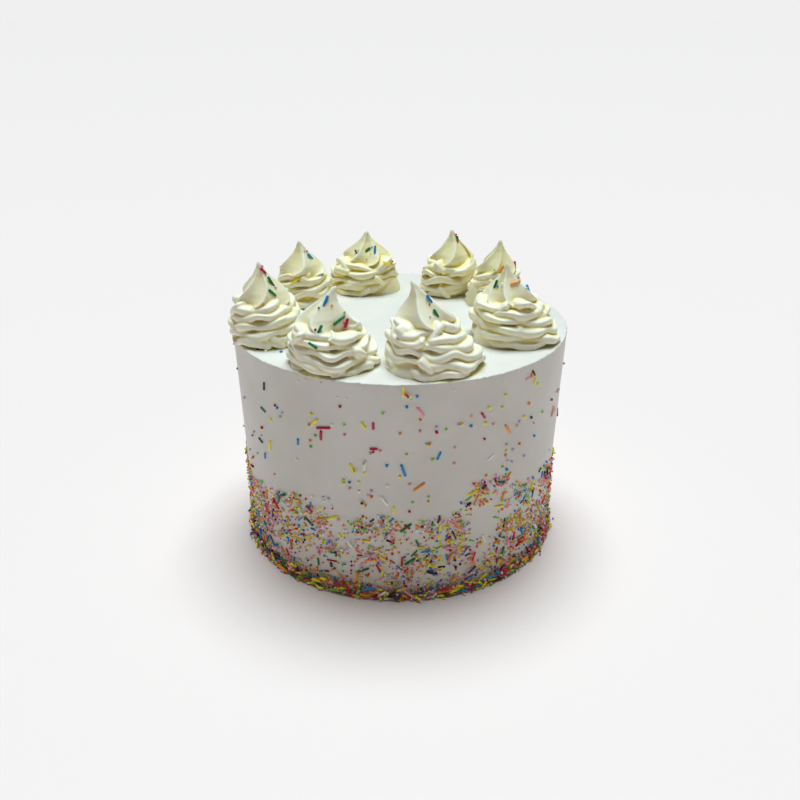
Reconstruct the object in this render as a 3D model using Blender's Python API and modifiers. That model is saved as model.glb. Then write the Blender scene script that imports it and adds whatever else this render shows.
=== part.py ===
"""Iced drum cake with eight piped cream swirls and sugar sprinkles, in metres, +Z up.

The origin is the middle of the flat underside, and the front of the cake is at -Y.
"""

import math
from typing import NamedTuple

import bmesh
import bpy
import numpy as np
from mathutils import Matrix, Vector
from mathutils.bvhtree import BVHTree

TAU = 2 * math.pi

# The iced cake: a drum a little wider at the top than at the foot
FOOT_RADIUS = 0.1010
TOP_RADIUS = 0.1040
CAKE_HEIGHT = 0.1408
RIM_ROUNDING = 0.0009
CAKE_FACETS = 72

# Gap between a swirl and the icing that it stands on
REST_GAP = 0.0003


class Swirl(NamedTuple):
    """One piped swirl. Its bud stands lean beside its foot's middle, and its tip leans over by tip more."""

    x: float
    y: float
    radius: float
    height: float
    hand: int  # 1 where the ribbons climb counter-clockwise from above, -1 where they climb clockwise
    start: float  # degrees, where the first ribbon leaves the cake
    bud: float  # widest radius of the bud, as a part of the swirl's radius
    lean: float
    tip: float
    full: float  # 0 where the ribbons draw in towards the bud, 1 where they stay as wide as the foot


SWIRLS = (
    Swirl(-0.0770, -0.0315, 0.0236, 0.0460, 1, 200, 0.66, -0.0030, -0.0015, 0.45),
    Swirl(-0.0635, 0.0386, 0.0200, 0.0410, 1, 90, 0.78, -0.0010, -0.0015, 0.5),
    Swirl(-0.0267, 0.0703, 0.0238, 0.0400, 1, 250, 0.72, 0.0030, 0.0010, 0.8),
    Swirl(0.0310, 0.0612, 0.0192, 0.0430, 1, 240, 0.82, 0.0050, -0.0010, 1.0),
    Swirl(0.0618, 0.0370, 0.0180, 0.0420, 1, 200, 0.78, 0.0030, 0.0005, 0.6),
    Swirl(0.0695, -0.0297, 0.0262, 0.0450, -1, 160, 0.62, -0.0060, -0.0020, 0.5),
    Swirl(0.0196, -0.0732, 0.0276, 0.0470, -1, 150, 0.60, -0.0065, -0.0070, 0.25),
    Swirl(-0.0363, -0.0713, 0.0250, 0.0436, -1, 170, 0.66, -0.0040, 0.0060, 0.5),
)

# A swirl's outline, as parts of its height and of its radius
OUTLINE_HEIGHTS = (0.0, 0.06, 0.20, 0.35, 0.50, 0.60)
OUTLINE_REACH = (0.97, 1.00, 0.93, 0.78, 0.60, 0.50)
OUTLINE_FULL = (0.90, 0.97, 1.00, 0.98, 0.90, 0.76)
LEAN_RATE = 1.7

# Ribbons of cream climb from the cake to the bud, as the points of a star nozzle leave them
RIBBONS = 3
RIBBON_TURNS = (-0.12, 1.62)
RIBBON_LEVELS = ((-0.12, 0.044), (0.0, 0.055), (1.6, 0.53))
RIBBON_HEAD = 0.53
RIBBON_SAMPLES = 400
RIBBON_THICKNESS = 0.104
RIBBON_SHIFT = 25.0
SHOULDER = 0.72
SHOULDER_SETBACK = 0.3
DROOP = 0.25
COLUMNS = 20

# The creases between the ribbons, and the core's ends, as parts of the outline
CREASE_FOOT = 0.80
CREASE_HEAD = 0.62
GROUND_REACH = 0.70
HEAD_PART = 0.60
HEAD_REACH = 0.30

# Waves of the ribbons, as parts of the radius or of the height, with their lengths
WAVE_TERMS = 6
IN_OUT = 0.052
IN_OUT_LENGTH = 0.024
UP_DOWN = 0.024
UP_DOWN_LENGTH = 0.030
SWELL = 0.20
SWELL_LENGTH = 0.028

# The bud: hollow sides that meet in sharp ridges, which turn as they leave the ribbons and run to the tip
BUD_FOOT = 0.45
BUD_LEVELS = (0.0, 0.05, 0.13, 0.22, 0.33, 0.45, 0.55, 0.69, 0.85, 0.95, 1.0)
BUD_REACH = (0.52, 0.90, 1.06, 1.03, 0.91, 0.73, 0.56, 0.33, 0.16, 0.09, 0.03)
BUD_SIDES = 5
BUD_HOLLOW = 0.27
HOLLOW_LEVELS = ((0.0, 0.7), (0.1, 0.9), (0.5, 1.15), (0.85, 1.1), (1.0, 0.4))
BUD_TWIST = 70.0
TWIST_RATE = 5.0
TIP_FROM = 0.25
TIP_CURVE = 1.7
HEM_DROP = 0.05
HEM_LEVEL = 0.35
SIDE_POINTS = (0.0, 0.30, 0.70)
SIDE_UNEVEN = 0.30

# Sugar rods, pressed into the icing
ROD_RADIUS = 0.0008
ROD_LENGTHS = (0.0062, 0.0084)
ROD_SIDES = 6
ROD_SHOWS = 0.35
ROD_SPACING = 0.0095
BAND_RODS = 88
BAND_CURVE = 1.3
BAND_LEVELS = ((-180, 0.060), (-150, 0.050), (-128, 0.060), (-113, 0.066), (-108, 0.046), (-98, 0.060),
               (-86, 0.050), (-76, 0.051), (-63, 0.076), (-54, 0.072), (-46, 0.060), (-30, 0.064),
               (0, 0.050), (35, 0.068), (70, 0.048), (105, 0.064), (140, 0.052), (180, 0.060))
FOOT_CLEARANCE = 0.0011

# Rods that lie alone above the band: degrees round the cake, height, tilt in degrees, length
STRAY_RODS = (
    (-114, 0.1110, 11, 0.0090), (-115, 0.1060, -94, 0.0060), (-117, 0.1135, 48, 0.0060),
    (-101, 0.1160, -57, 0.0044), (-98, 0.1160, -91, 0.0042), (-98, 0.1020, 4, 0.0045),
    (-124, 0.0980, -95, 0.0042), (-138, 0.0870, -99, 0.0070), (-138, 0.1250, -100, 0.0052),
    (-140, 0.1090, -15, 0.0052), (-144, 0.0860, -18, 0.0050), (-142, 0.0770, -101, 0.0042),
    (-154, 0.0660, 38, 0.0060), (-105, 0.0884, -68, 0.0058), (-101, 0.0900, -97, 0.0080),
    (-95, 0.0690, -56, 0.0073), (-89, 0.1365, -90, 0.0052), (-89, 0.0890, -72, 0.0080),
    (-78, 0.0970, 69, 0.0053), (-54, 0.1050, -55, 0.0076), (-84, 0.0780, 38, 0.0078),
    (-64, 0.1180, -57, 0.0046), (-60, 0.0900, 31, 0.0048), (-84, 0.1247, -56, 0.0064),
    (-46, 0.1324, 6, 0.0058), (-44, 0.1343, -53, 0.0044), (-144, 0.0480, -96, 0.0066),
    (-135, 0.0520, -98, 0.0053), (-26, 0.0980, 70, 0.0065),
    (-8, 0.0830, 20, 0.0074), (22, 0.1120, -60, 0.0058), (58, 0.0900, 35, 0.0078),
    (93, 0.1040, -15, 0.0064), (128, 0.0860, 75, 0.0072), (160, 0.1100, -40, 0.0060),
)

# Rods on the swirls: the swirl's number, degrees round it, part of its height, tilt in degrees, length
SWIRL_RODS = (
    (1, -57, 0.88, -50, 0.0050), (1, -25, 0.73, -70, 0.0090), (1, -50, 0.64, -50, 0.0060),
    (2, -104, 0.43, 45, 0.0075), (2, -21, 0.74, -55, 0.0060),
    (3, -53, 0.70, 80, 0.0070), (3, -45, 0.52, -25, 0.0070), (3, -122, 0.67, -30, 0.0050),
    (3, -78, 0.71, 40, 0.0045),
    (4, -30, 0.84, 70, 0.0045),
    (5, -85, 0.58, 60, 0.0060), (5, -25, 0.62, -80, 0.0055),
    (6, -155, 0.72, 80, 0.0060), (6, -63, 0.76, 15, 0.0060), (6, -21, 0.66, 60, 0.0060),
    (7, -55, 0.80, -60, 0.0052), (7, -52, 0.66, -65, 0.0050),
    (8, -82, 0.82, 65, 0.0070), (8, -50, 0.62, 30, 0.0080), (8, -36, 0.58, 65, 0.0055),
    (8, -100, 0.53, 60, 0.0072), (8, -108, 0.39, -30, 0.0056),
)

# Edges sharper than this stay sharp in the shading
SHARP_ANGLE = math.radians(40)

CREAM = (0.93, 0.91, 0.80, 1.0)
ICING = (0.86, 0.86, 0.83, 1.0)
SEED = 20


def clear_scene():
    """Remove every object that the scene holds."""
    for obj in list(bpy.data.objects):
        bpy.data.objects.remove(obj, do_unlink=True)


def new_collection(name):
    """Return a new collection in the scene."""
    collection = bpy.data.collections.new(name)
    bpy.context.scene.collection.children.link(collection)
    return collection


def new_material(name, colour, roughness):
    """Return a Principled material."""
    material = bpy.data.materials.new(name)
    material.use_nodes = True
    shader = material.node_tree.nodes["Principled BSDF"]
    shader.inputs["Base Color"].default_value = colour
    shader.inputs["Roughness"].default_value = roughness
    shader.inputs["Metallic"].default_value = 0.0
    return material


def new_object(name, mesh, collection):
    """Return an object that holds the mesh, in the collection."""
    obj = bpy.data.objects.new(name, mesh)
    collection.objects.link(obj)
    return obj


def apply_modifiers(obj):
    """Make the object's evaluated shape its own mesh."""
    graph = bpy.context.evaluated_depsgraph_get()
    mesh = bpy.data.meshes.new_from_object(obj.evaluated_get(graph))
    obj.modifiers.clear()
    obj.data = mesh


def ease(x):
    """Go from 0 to 1 without a corner."""
    x = np.clip(x, 0.0, 1.0)
    return x * x * (3 - 2 * x)


def wave(rng, length):
    """Return a smooth random function of a distance, about 1 high, whose swings are about this long."""
    lengths = length * rng.uniform(0.7, 1.7, WAVE_TERMS)
    phases = rng.uniform(0, TAU, WAVE_TERMS)
    heights = rng.uniform(0.5, 1.0, WAVE_TERMS)
    heights /= np.sqrt((heights**2).sum())

    def height(distance):
        terms = zip(heights, lengths, phases)
        return sum(h * np.sin(TAU * distance / long + phase) for h, long, phase in terms)

    return height


def outline(swirl, part):
    """Return how far a swirl reaches from its middle at a part of its height."""
    drawn_in = np.interp(part, OUTLINE_HEIGHTS, OUTLINE_REACH)
    full = np.interp(part, OUTLINE_HEIGHTS, OUTLINE_FULL)
    return swirl.radius * (drawn_in + swirl.full * (full - drawn_in))


def lean_at(swirl, part):
    """Return how far the swirl's middle has moved sideways at a part of its height."""
    return swirl.lean * ease(LEAN_RATE * part)


def closed_object(name, points, faces, collection):
    """Return an object from points and faces that close it, with its faces turned outwards."""
    mesh = bpy.data.meshes.new(name)
    mesh.from_pydata([tuple(point) for point in points], [], faces)
    shape = bmesh.new()
    shape.from_mesh(mesh)
    bmesh.ops.triangulate(shape, faces=shape.faces)
    bmesh.ops.recalc_face_normals(shape, faces=shape.faces)
    shape.to_mesh(mesh)
    shape.free()
    return new_object(name, mesh, collection)


def loft(name, rings, collection):
    """Return a closed object whose skin runs through the rings of points, with a flat cap at each end."""
    count, sides = rings.shape[:2]
    faces = []
    for i in range(count - 1):
        for j in range(sides):
            k = (j + 1) % sides
            faces.append((i * sides + j, i * sides + k, (i + 1) * sides + k, (i + 1) * sides + j))
    faces.append(tuple(range(sides)))
    faces.append(tuple(range((count - 1) * sides, count * sides)))
    return closed_object(name, rings.reshape(-1, 3), faces, collection)


def ribbon_line(swirl, number, index):
    """Return where a ribbon begins, in turns of the climb, and a function of its turns that gives its line.

    The line is its reach from the middle, its height and half its thickness.
    """
    rng = np.random.default_rng(10 * number + index)
    in_out, up_down, swell = wave(rng, IN_OUT_LENGTH), wave(rng, UP_DOWN_LENGTH), wave(rng, SWELL_LENGTH)
    start = swirl.start + 360.0 / RIBBONS * index + rng.uniform(-RIBBON_SHIFT, RIBBON_SHIFT)
    turns = np.linspace(*RIBBON_TURNS, RIBBON_SAMPLES)
    parts = np.interp(turns, *zip(*RIBBON_LEVELS))
    run = np.concatenate([[0.0], np.cumsum(TAU * np.diff(turns) * outline(swirl, parts)[1:])])

    def line(at):
        part, along = np.interp(at, turns, parts), np.interp(at, turns, run)
        reach = outline(swirl, part) + IN_OUT * swirl.radius * in_out(along)
        height = part * swirl.height + UP_DOWN * swirl.height * up_down(along)
        half = 0.5 * RIBBON_THICKNESS * swirl.height * (1 + SWELL * swell(along))
        return reach, height, half

    return (swirl.hand * start / 360.0) % 1.0, line


def upright_point(swirl, column, reach, height):
    """Return a point of the stack of ribbons, on one of its upright sections."""
    angle = swirl.hand * TAU * column / COLUMNS
    middle = lean_at(swirl, height / swirl.height)
    return (middle + reach * math.cos(angle), reach * math.sin(angle), max(height, 0.0))


def stack_section(swirl, ribbons, column):
    """Return the rows of one upright section through the ribbons, from the cake to the bud.

    Every ribbon that passes gives three points: the crease below it and its two shoulders. One that hasn't
    begun here gives the ground point three times, and one that has ended gives the head point.
    """
    first, last = RIBBON_TURNS
    ground = upright_point(swirl, column, GROUND_REACH * outline(swirl, 0), 0.0)
    head = upright_point(swirl, column, HEAD_REACH * outline(swirl, HEAD_PART), HEAD_PART * swirl.height)
    rows = []
    above = 0.0
    for rank in range(-2 * RIBBONS, 4 * RIBBONS):
        start, line = ribbons[rank % RIBBONS]
        turns = column / COLUMNS - start + rank // RIBBONS
        if turns < first or turns > last:
            rows += [ground if turns < first else head] * 3
            continue
        reach, height, half = line(turns)
        low, high = height - (SHOULDER + DROOP) * half, height + (SHOULDER - DROOP) * half
        crease = max(0.5 * (above + low), 0.0)
        part = crease / swirl.height
        share = np.interp(part, (0.0, RIBBON_HEAD), (CREASE_FOOT, CREASE_HEAD))
        rows.append(upright_point(swirl, column, share * outline(swirl, part), crease))
        rows.append(upright_point(swirl, column, reach, low))
        rows.append(upright_point(swirl, column, reach - SHOULDER_SETBACK * half, high))
        above = high
    return rows


def stack_of_ribbons(swirl, number, collection):
    """Return the ribbons and the cream behind them as one closed object.

    Its rows follow the ribbons, so after a full turn each row meets the row one turn of ribbons higher.
    """
    ribbons = [ribbon_line(swirl, number, index) for index in range(RIBBONS)]
    ribbons.sort(key=lambda ribbon: -ribbon[0])
    sections = [stack_section(swirl, ribbons, column) for column in range(COLUMNS)]
    points = []
    numbers = []
    for section in sections:
        numbers.append([])
        for row, point in enumerate(section):
            if row == 0 or point != section[row - 1]:
                points.append(point)
            numbers[-1].append(len(points) - 1)

    def at(row, column):
        if column == COLUMNS:
            row, column = min(row + 3 * RIBBONS, len(sections[0]) - 1), 0
        return numbers[column][row]

    faces = []
    for column in range(COLUMNS):
        for row in range(len(sections[0]) - 1):
            corners = (at(row, column), at(row, column + 1), at(row + 1, column + 1), at(row + 1, column))
            corners = tuple(dict.fromkeys(corners))
            if len(corners) > 2:
                faces.append(corners)
    for row in (0, -1):
        faces.append(tuple(column[row] for column in numbers))
    return closed_object(f"swirl_{number}", points, faces, collection)


def bud_rings(swirl, number):
    """Return the sections of the bud, whose corners run along its ridges and its hollow sides."""
    rng = np.random.default_rng(100 + number)
    uneven, turn = wave(rng, TAU), rng.uniform(0, TAU)
    level = np.array(BUD_LEVELS)
    part = BUD_FOOT + (1 - BUD_FOOT) * level
    reach = swirl.bud * swirl.radius * np.array(BUD_REACH)
    depth = BUD_HOLLOW * np.interp(level, *zip(*HOLLOW_LEVELS))
    twist = math.radians(BUD_TWIST) * (1 - np.exp(-TWIST_RATE * level))
    in_tip = np.clip((level - TIP_FROM) / (1 - TIP_FROM), 0, 1)
    middle = lean_at(swirl, part) + swirl.tip * in_tip**TIP_CURVE

    phases = np.concatenate([side + np.array(SIDE_POINTS) for side in range(BUD_SIDES)])
    angles = TAU * phases / BUD_SIDES
    angles = angles + SIDE_UNEVEN * uneven(angles) + turn
    hollow = 1 - (2 * (phases % 1.0) - 1) ** 2
    rings = np.empty((len(level), len(phases), 3))
    for row, ring in enumerate(rings):
        around = angles + swirl.hand * twist[row]
        radii = reach[row] * (1 - depth[row] * hollow)
        drop = HEM_DROP * hollow * max(0, 1 - level[row] / HEM_LEVEL)
        ring[:, 0] = middle[row] + radii * np.cos(around)
        ring[:, 1] = radii * np.sin(around)
        ring[:, 2] = (part[row] - drop) * swirl.height
    return rings


def new_rod(name, length, middle, along, outward, collection):
    """Return a sugar rod, a prism whose middle is here and which lies along a direction."""
    along = along.normalized()
    side = along.cross(outward).normalized()
    turn = Matrix((side, along.cross(side), along)).transposed().to_4x4()
    shape = bmesh.new()
    bmesh.ops.create_cone(shape, cap_ends=True, cap_tris=True, segments=ROD_SIDES, radius1=ROD_RADIUS,
                          radius2=ROD_RADIUS, depth=length, matrix=Matrix.Translation(middle) @ turn)
    mesh = bpy.data.meshes.new(name)
    shape.to_mesh(mesh)
    shape.free()
    return new_object(name, mesh, collection)


def join(first, others, solver="EXACT"):
    """Join a collection's objects to the first object, and remove them. Only the largest body stays."""
    modifier = first.modifiers.new("join", "BOOLEAN")
    modifier.operation = "UNION"
    modifier.solver = solver
    modifier.operand_type = "COLLECTION"
    modifier.collection = others
    apply_modifiers(first)
    for obj in list(others.objects):
        bpy.data.objects.remove(obj, do_unlink=True)
    bpy.data.collections.remove(others)
    keep_largest(first.data)


def keep_largest(mesh):
    """Drop loose scraps and the walls of sealed hollows, and leave the body with the most faces."""
    shape = bmesh.new()
    shape.from_mesh(mesh)
    bodies = []
    unseen = set(shape.verts)
    while unseen:
        body, edge_of = set(), [unseen.pop()]
        while edge_of:
            vert = edge_of.pop()
            body.add(vert)
            near = {edge.other_vert(vert) for edge in vert.link_edges} & unseen
            unseen -= near
            edge_of.extend(near)
        bodies.append(body)
    bodies.sort(key=len)
    for body in bodies[:-1]:
        bmesh.ops.delete(shape, geom=list(body), context="VERTS")
    bmesh.ops.triangulate(shape, faces=shape.faces)
    shape.to_mesh(mesh)
    shape.free()
    mesh.shade_smooth()
    mesh.set_sharp_from_angle(angle=SHARP_ANGLE)


def rods_on_swirl(swirl, number, body, collection):
    """Lay the sugar rods of this swirl on its skin."""
    tree = BVHTree.FromObject(body, bpy.context.evaluated_depsgraph_get())
    for owner, degrees, part, tilt, length in SWIRL_RODS:
        if owner != number:
            continue
        angle = math.radians(degrees)
        outward = Vector((math.cos(angle), math.sin(angle), 0))
        middle = Vector((lean_at(swirl, part), 0, part * swirl.height))
        place, normal, _, _ = tree.ray_cast(middle + outward * swirl.radius * 2, -outward)
        normal = (normal + outward).normalized()
        around = Vector((0, 0, 1)).cross(normal).normalized()
        along = around * math.cos(math.radians(tilt)) + normal.cross(around) * math.sin(math.radians(tilt))
        new_rod("rod", length, place + normal * ROD_SHOWS * ROD_RADIUS, along, normal, collection)


def make_swirl(swirl, number, material, collection):
    """Make one piped swirl with the sprinkles on it."""
    body = stack_of_ribbons(swirl, number, collection)
    pieces = new_collection(body.name + "_pieces")
    loft("bud", bud_rings(swirl, number), pieces)
    join(body, pieces, "MANIFOLD")
    rods = new_collection(body.name + "_rods")
    rods_on_swirl(swirl, number, body, rods)
    join(body, rods, "MANIFOLD")
    body.data.materials.append(material)
    body.location = (swirl.x, swirl.y, CAKE_HEIGHT + REST_GAP)
    return body


def side_place(angle, height):
    """Return a point on the cake's side, and the directions outward, around and up there."""
    radius = FOOT_RADIUS + (TOP_RADIUS - FOOT_RADIUS) * height / CAKE_HEIGHT
    across = Vector((math.cos(angle), math.sin(angle), 0))
    around = Vector((-math.sin(angle), math.cos(angle), 0))
    up = (across * (TOP_RADIUS - FOOT_RADIUS) / CAKE_HEIGHT + Vector((0, 0, 1))).normalized()
    return across * radius + Vector((0, 0, height)), around.cross(up), around, up


def band_places():
    """Return (angle, height, tilt, length) of the band's largest rods, spread apart, most near the foot."""
    rng = np.random.default_rng(SEED)
    angles, levels = zip(*BAND_LEVELS)
    places = []
    points = []
    while len(places) < BAND_RODS:
        degrees = rng.uniform(-180, 180)
        height = np.interp(degrees, angles, levels) * rng.uniform(0, 1) ** BAND_CURVE
        tilt = rng.uniform(-90, 90)
        length = rng.uniform(*ROD_LENGTHS)
        lowest = height - 0.5 * length * abs(math.sin(math.radians(tilt)))
        point = side_place(math.radians(degrees), height)[0]
        if lowest < FOOT_CLEARANCE or any((point - other).length < ROD_SPACING for other in points):
            continue
        points.append(point)
        places.append((math.radians(degrees), height, math.radians(tilt), length))
    return places


def stray_places():
    """Return (angle, height, tilt, length) of the rods that lie alone higher up."""
    return [(math.radians(a), height, math.radians(tilt), length) for a, height, tilt, length in STRAY_RODS]


def make_cake(material, collection):
    """Make the iced drum by turning its profile, and press the sprinkles into its side."""
    profile = ((0.0, CAKE_HEIGHT), (TOP_RADIUS - RIM_ROUNDING, CAKE_HEIGHT),
               (TOP_RADIUS, CAKE_HEIGHT - RIM_ROUNDING), (FOOT_RADIUS, 0.0), (0.0, 0.0))
    mesh = bpy.data.meshes.new("cake_body")
    points = [(x, 0.0, z) for x, z in profile]
    mesh.from_pydata(points, [(i, i + 1) for i in range(len(points) - 1)], [])
    body = new_object("cake_body", mesh, collection)
    screw = body.modifiers.new("turn", "SCREW")
    screw.axis = "Z"
    screw.angle = TAU
    screw.steps = CAKE_FACETS
    screw.render_steps = CAKE_FACETS
    screw.use_merge_vertices = True
    screw.merge_threshold = 0.00001
    apply_modifiers(body)
    rods = new_collection("cake_rods")
    for angle, height, tilt, length in band_places() + stray_places():
        place, outward, around, up = side_place(angle, height)
        along = around * math.cos(tilt) + up * math.sin(tilt)
        new_rod("rod", length, place + outward * ROD_SHOWS * ROD_RADIUS, along, outward, rods)
    join(body, rods)
    body.data.materials.append(material)
    return body


def main():
    """Make the cake and its swirls."""
    clear_scene()
    parts = new_collection("rainbow_cake")
    icing = new_material("buttercream_icing", ICING, 0.45)
    cream = new_material("piped_cream", CREAM, 0.40)
    make_cake(icing, parts)
    for number, swirl in enumerate(SWIRLS, start=1):
        make_swirl(swirl, number, cream, parts)


main()
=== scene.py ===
"""Looks of the rainbow sprinkle cake: scraped buttercream, piped cream swirls and sugar sprinkles.

Everything is in metres, +Z up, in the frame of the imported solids. The front of the cake is at -Y.
"""

import logging
import math
from collections.abc import Callable, Iterable, Sequence
from dataclasses import dataclass, field
from enum import Enum
from typing import Any

import bmesh
import bpy
import numpy as np
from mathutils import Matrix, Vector
from mathutils.bvhtree import BVHTree


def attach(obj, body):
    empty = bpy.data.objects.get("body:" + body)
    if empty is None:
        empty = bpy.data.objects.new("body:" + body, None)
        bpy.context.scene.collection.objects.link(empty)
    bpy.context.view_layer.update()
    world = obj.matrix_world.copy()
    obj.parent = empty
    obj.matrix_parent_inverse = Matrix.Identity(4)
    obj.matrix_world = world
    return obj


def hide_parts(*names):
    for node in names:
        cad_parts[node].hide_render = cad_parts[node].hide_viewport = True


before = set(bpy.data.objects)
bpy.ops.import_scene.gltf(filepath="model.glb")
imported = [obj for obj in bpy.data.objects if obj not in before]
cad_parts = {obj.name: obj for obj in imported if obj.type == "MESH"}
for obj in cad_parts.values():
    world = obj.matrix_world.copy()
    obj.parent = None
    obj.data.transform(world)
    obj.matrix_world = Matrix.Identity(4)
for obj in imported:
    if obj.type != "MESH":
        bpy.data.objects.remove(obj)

LOG = logging.getLogger("rainbow_cake")
TAU = 2 * math.pi
MM = 0.001
BODY = "root"
Colour = tuple[float, float, float, float]
Place = tuple[Vector, Vector, Vector, Vector]
Clump = tuple[float, float, float, float]


def linear(code: str) -> Colour:
    """Turn an sRGB hex code into the linear colour that a shader takes.

    Args:
        code: six hex digits after a hash sign.

    Returns:
        Red, green, blue and an alpha of 1.
    """
    parts = [int(code[i : i + 2], 16) / 255 for i in (1, 3, 5)]
    red, green, blue = [c / 12.92 if c <= 0.04045 else ((c + 0.055) / 1.055) ** 2.4 for c in parts]
    return red, green, blue, 1.0


def add_node(tree: bpy.types.NodeTree, kind: str, inputs: dict[Any, Any] | None = None,
             **settings: Any) -> Any:
    """Add a node to a tree, with its settings, values and links.

    Args:
        tree: the shader or geometry tree.
        kind: the node's type.
        inputs: a value or an output socket for each input, by its name or number.
        settings: the node's own properties.

    Returns:
        The node.
    """
    node = tree.nodes.new(kind)
    for name, value in settings.items():
        setattr(node, name, value)
    for key, value in (inputs or {}).items():
        if isinstance(value, bpy.types.NodeSocket):
            tree.links.new(value, node.inputs[key])
        else:
            node.inputs[key].default_value = value
    return node


def math_node(tree: bpy.types.NodeTree, operation: str, *values: Any) -> Any:
    """Add a Math node and return its result.

    Args:
        tree: the shader or geometry tree.
        operation: the node's operation.
        values: a number or an output socket for each input.

    Returns:
        The result's socket.
    """
    kind = "ShaderNodeMath"
    return add_node(tree, kind, dict(enumerate(values)), operation=operation).outputs[0]


def vector_node(tree: bpy.types.NodeTree, operation: str, *values: Any) -> Any:
    """Add a Vector Math node and return it, because its result is in one of two outputs.

    Args:
        tree: the shader or geometry tree.
        operation: the node's operation.
        values: a vector, a number or an output socket for each input.

    Returns:
        The node.
    """
    node = add_node(tree, "ShaderNodeVectorMath", operation=operation)
    for number, value in enumerate(values):
        key: Any = "Scale" if operation == "SCALE" and number == 1 else number
        if isinstance(value, bpy.types.NodeSocket):
            tree.links.new(value, node.inputs[key])
        else:
            node.inputs[key].default_value = value
    return node


def range_node(tree: bpy.types.NodeTree, value: Any, low: float, high: float, start: float = 0.0,
               end: float = 1.0, **settings: Any) -> Any:
    """Add a Map Range node and return its result.

    Args:
        tree: the shader or geometry tree.
        value: the socket that it reads.
        low: the value that becomes `start`.
        high: the value that becomes `end`.
        start: the result at `low`.
        end: the result at `high`.
        settings: the node's own properties.

    Returns:
        The result's socket.
    """
    inputs = {0: value, 1: low, 2: high, 3: start, 4: end}
    return add_node(tree, "ShaderNodeMapRange", inputs, **settings).outputs[0]


def noise_node(tree: bpy.types.NodeTree, place: Any, size: float, detail: float) -> Any:
    """Add a noise whose swings are about this size, and return its value's socket."""
    inputs = {"Vector": place, "Scale": 1 / size, "Detail": detail}
    return add_node(tree, "ShaderNodeTexNoise", inputs).outputs[0]


def blend_node(tree: bpy.types.NodeTree, share: Any, first: Any, second: Any) -> Any:
    """Add a mix of two colours by a share, and return the colour's socket."""
    return add_node(tree, "ShaderNodeMix", {0: share, 6: first, 7: second}, data_type="RGBA").outputs[2]


def new_surface(name: str, roughness: float, ior: float) -> tuple[bpy.types.Material, Any, Any]:
    """Start a material.

    Args:
        name: the material's name.
        roughness: how dull its shine is.
        ior: how strong its shine is.

    Returns:
        The material, its Principled shader and the socket of the Object coordinates.
    """
    made = bpy.data.materials.new(name)
    made.use_nodes = True
    shader = made.node_tree.nodes["Principled BSDF"]
    shader.inputs["Roughness"].default_value = roughness
    shader.inputs["IOR"].default_value = ior
    return made, shader, add_node(made.node_tree, "ShaderNodeTexCoord").outputs["Object"]


def finish_surface(shader: Any, colour: Any, height: Any, strength: float, distance: float) -> None:
    """Link a pattern's colour and its relief to a shader.

    Args:
        shader: the Principled shader.
        colour: the colour's socket.
        height: the socket of the relief's height.
        strength: how much of the relief shows.
        distance: how deep it goes.
    """
    tree = shader.id_data
    bump = add_node(tree, "ShaderNodeBump", {"Height": height, "Strength": strength, "Distance": distance})
    tree.links.new(colour, shader.inputs["Base Color"])
    tree.links.new(bump.outputs[0], shader.inputs["Normal"])


def let_light_in(shader: Any, weight: float, radius: tuple[float, float, float]) -> None:
    """Let light a little way into the cream: how much of it, and how far each colour goes."""
    shader.inputs["Subsurface Weight"].default_value = weight
    shader.inputs["Subsurface Radius"].default_value = radius
    shader.inputs["Subsurface Scale"].default_value = 2.0 * MM


class Recipe:
    """A Geometry Nodes tree with named inputs, run once on an object and then taken off it."""

    def __init__(self, name: str) -> None:
        """Start the tree with a geometry going in and one coming out."""
        self.tree = bpy.data.node_groups.new(name, "GeometryNodeTree")
        self.tree.interface.new_socket("Geometry", in_out="INPUT", socket_type="NodeSocketGeometry")
        self.tree.interface.new_socket("Geometry", in_out="OUTPUT", socket_type="NodeSocketGeometry")
        self.start = self.tree.nodes.new("NodeGroupInput")
        self.end = self.tree.nodes.new("NodeGroupOutput")

    def size(self, name: str, value: float, kind: str = "NodeSocketFloat") -> Any:
        """Add a named input with its value.

        Args:
            name: the input's name.
            value: what it is set to unless the run says otherwise.
            kind: the socket's type.

        Returns:
            The socket to link from.
        """
        socket = self.tree.interface.new_socket(name, in_out="INPUT", socket_type=kind)
        socket.default_value = value
        return self.start.outputs[name]

    def node(self, kind: str, inputs: dict[Any, Any] | None = None, **settings: Any) -> Any:
        """Add a node of this kind."""
        return add_node(self.tree, kind, inputs, **settings)

    def math(self, operation: str, *values: Any) -> Any:
        """Add a Math node and return its result."""
        return math_node(self.tree, operation, *values)

    def vector(self, operation: str, *values: Any) -> Any:
        """Add a Vector Math node and return its vector."""
        return vector_node(self.tree, operation, *values).outputs["Vector"]

    def read(self, name: str, kind: str = "FLOAT") -> Any:
        """Return the named attribute's socket."""
        return self.node("GeometryNodeInputNamedAttribute", {"Name": name}, data_type=kind).outputs[0]

    def store(self, geometry: Any, name: str, value: Any, kind: str = "FLOAT", domain: str = "POINT") -> Any:
        """Store a value as a named attribute, and return the geometry's socket."""
        inputs = {"Geometry": geometry, "Name": name, "Value": value}
        node = self.node("GeometryNodeStoreNamedAttribute", inputs, data_type=kind, domain=domain)
        return node.outputs[0]

    def range(self, value: Any, *ends: float) -> Any:
        """Add a Map Range node and return its result."""
        return range_node(self.tree, value, *ends)

    def run(self, obj: bpy.types.Object, geometry: Any) -> None:
        """Close the tree, run it on the object and keep the result as a plain mesh.

        Args:
            obj: the object, whose mesh is replaced.
            geometry: the socket that the tree ends in.
        """
        self.tree.links.new(geometry, self.end.inputs[0])
        modifier = obj.modifiers.new(self.tree.name, "NODES")
        modifier.node_group = self.tree
        for item in self.tree.interface.items_tree:
            if item.in_out == "INPUT" and item.socket_type != "NodeSocketGeometry":
                modifier[item.identifier] = item.default_value
        keep_evaluated(obj)


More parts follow.
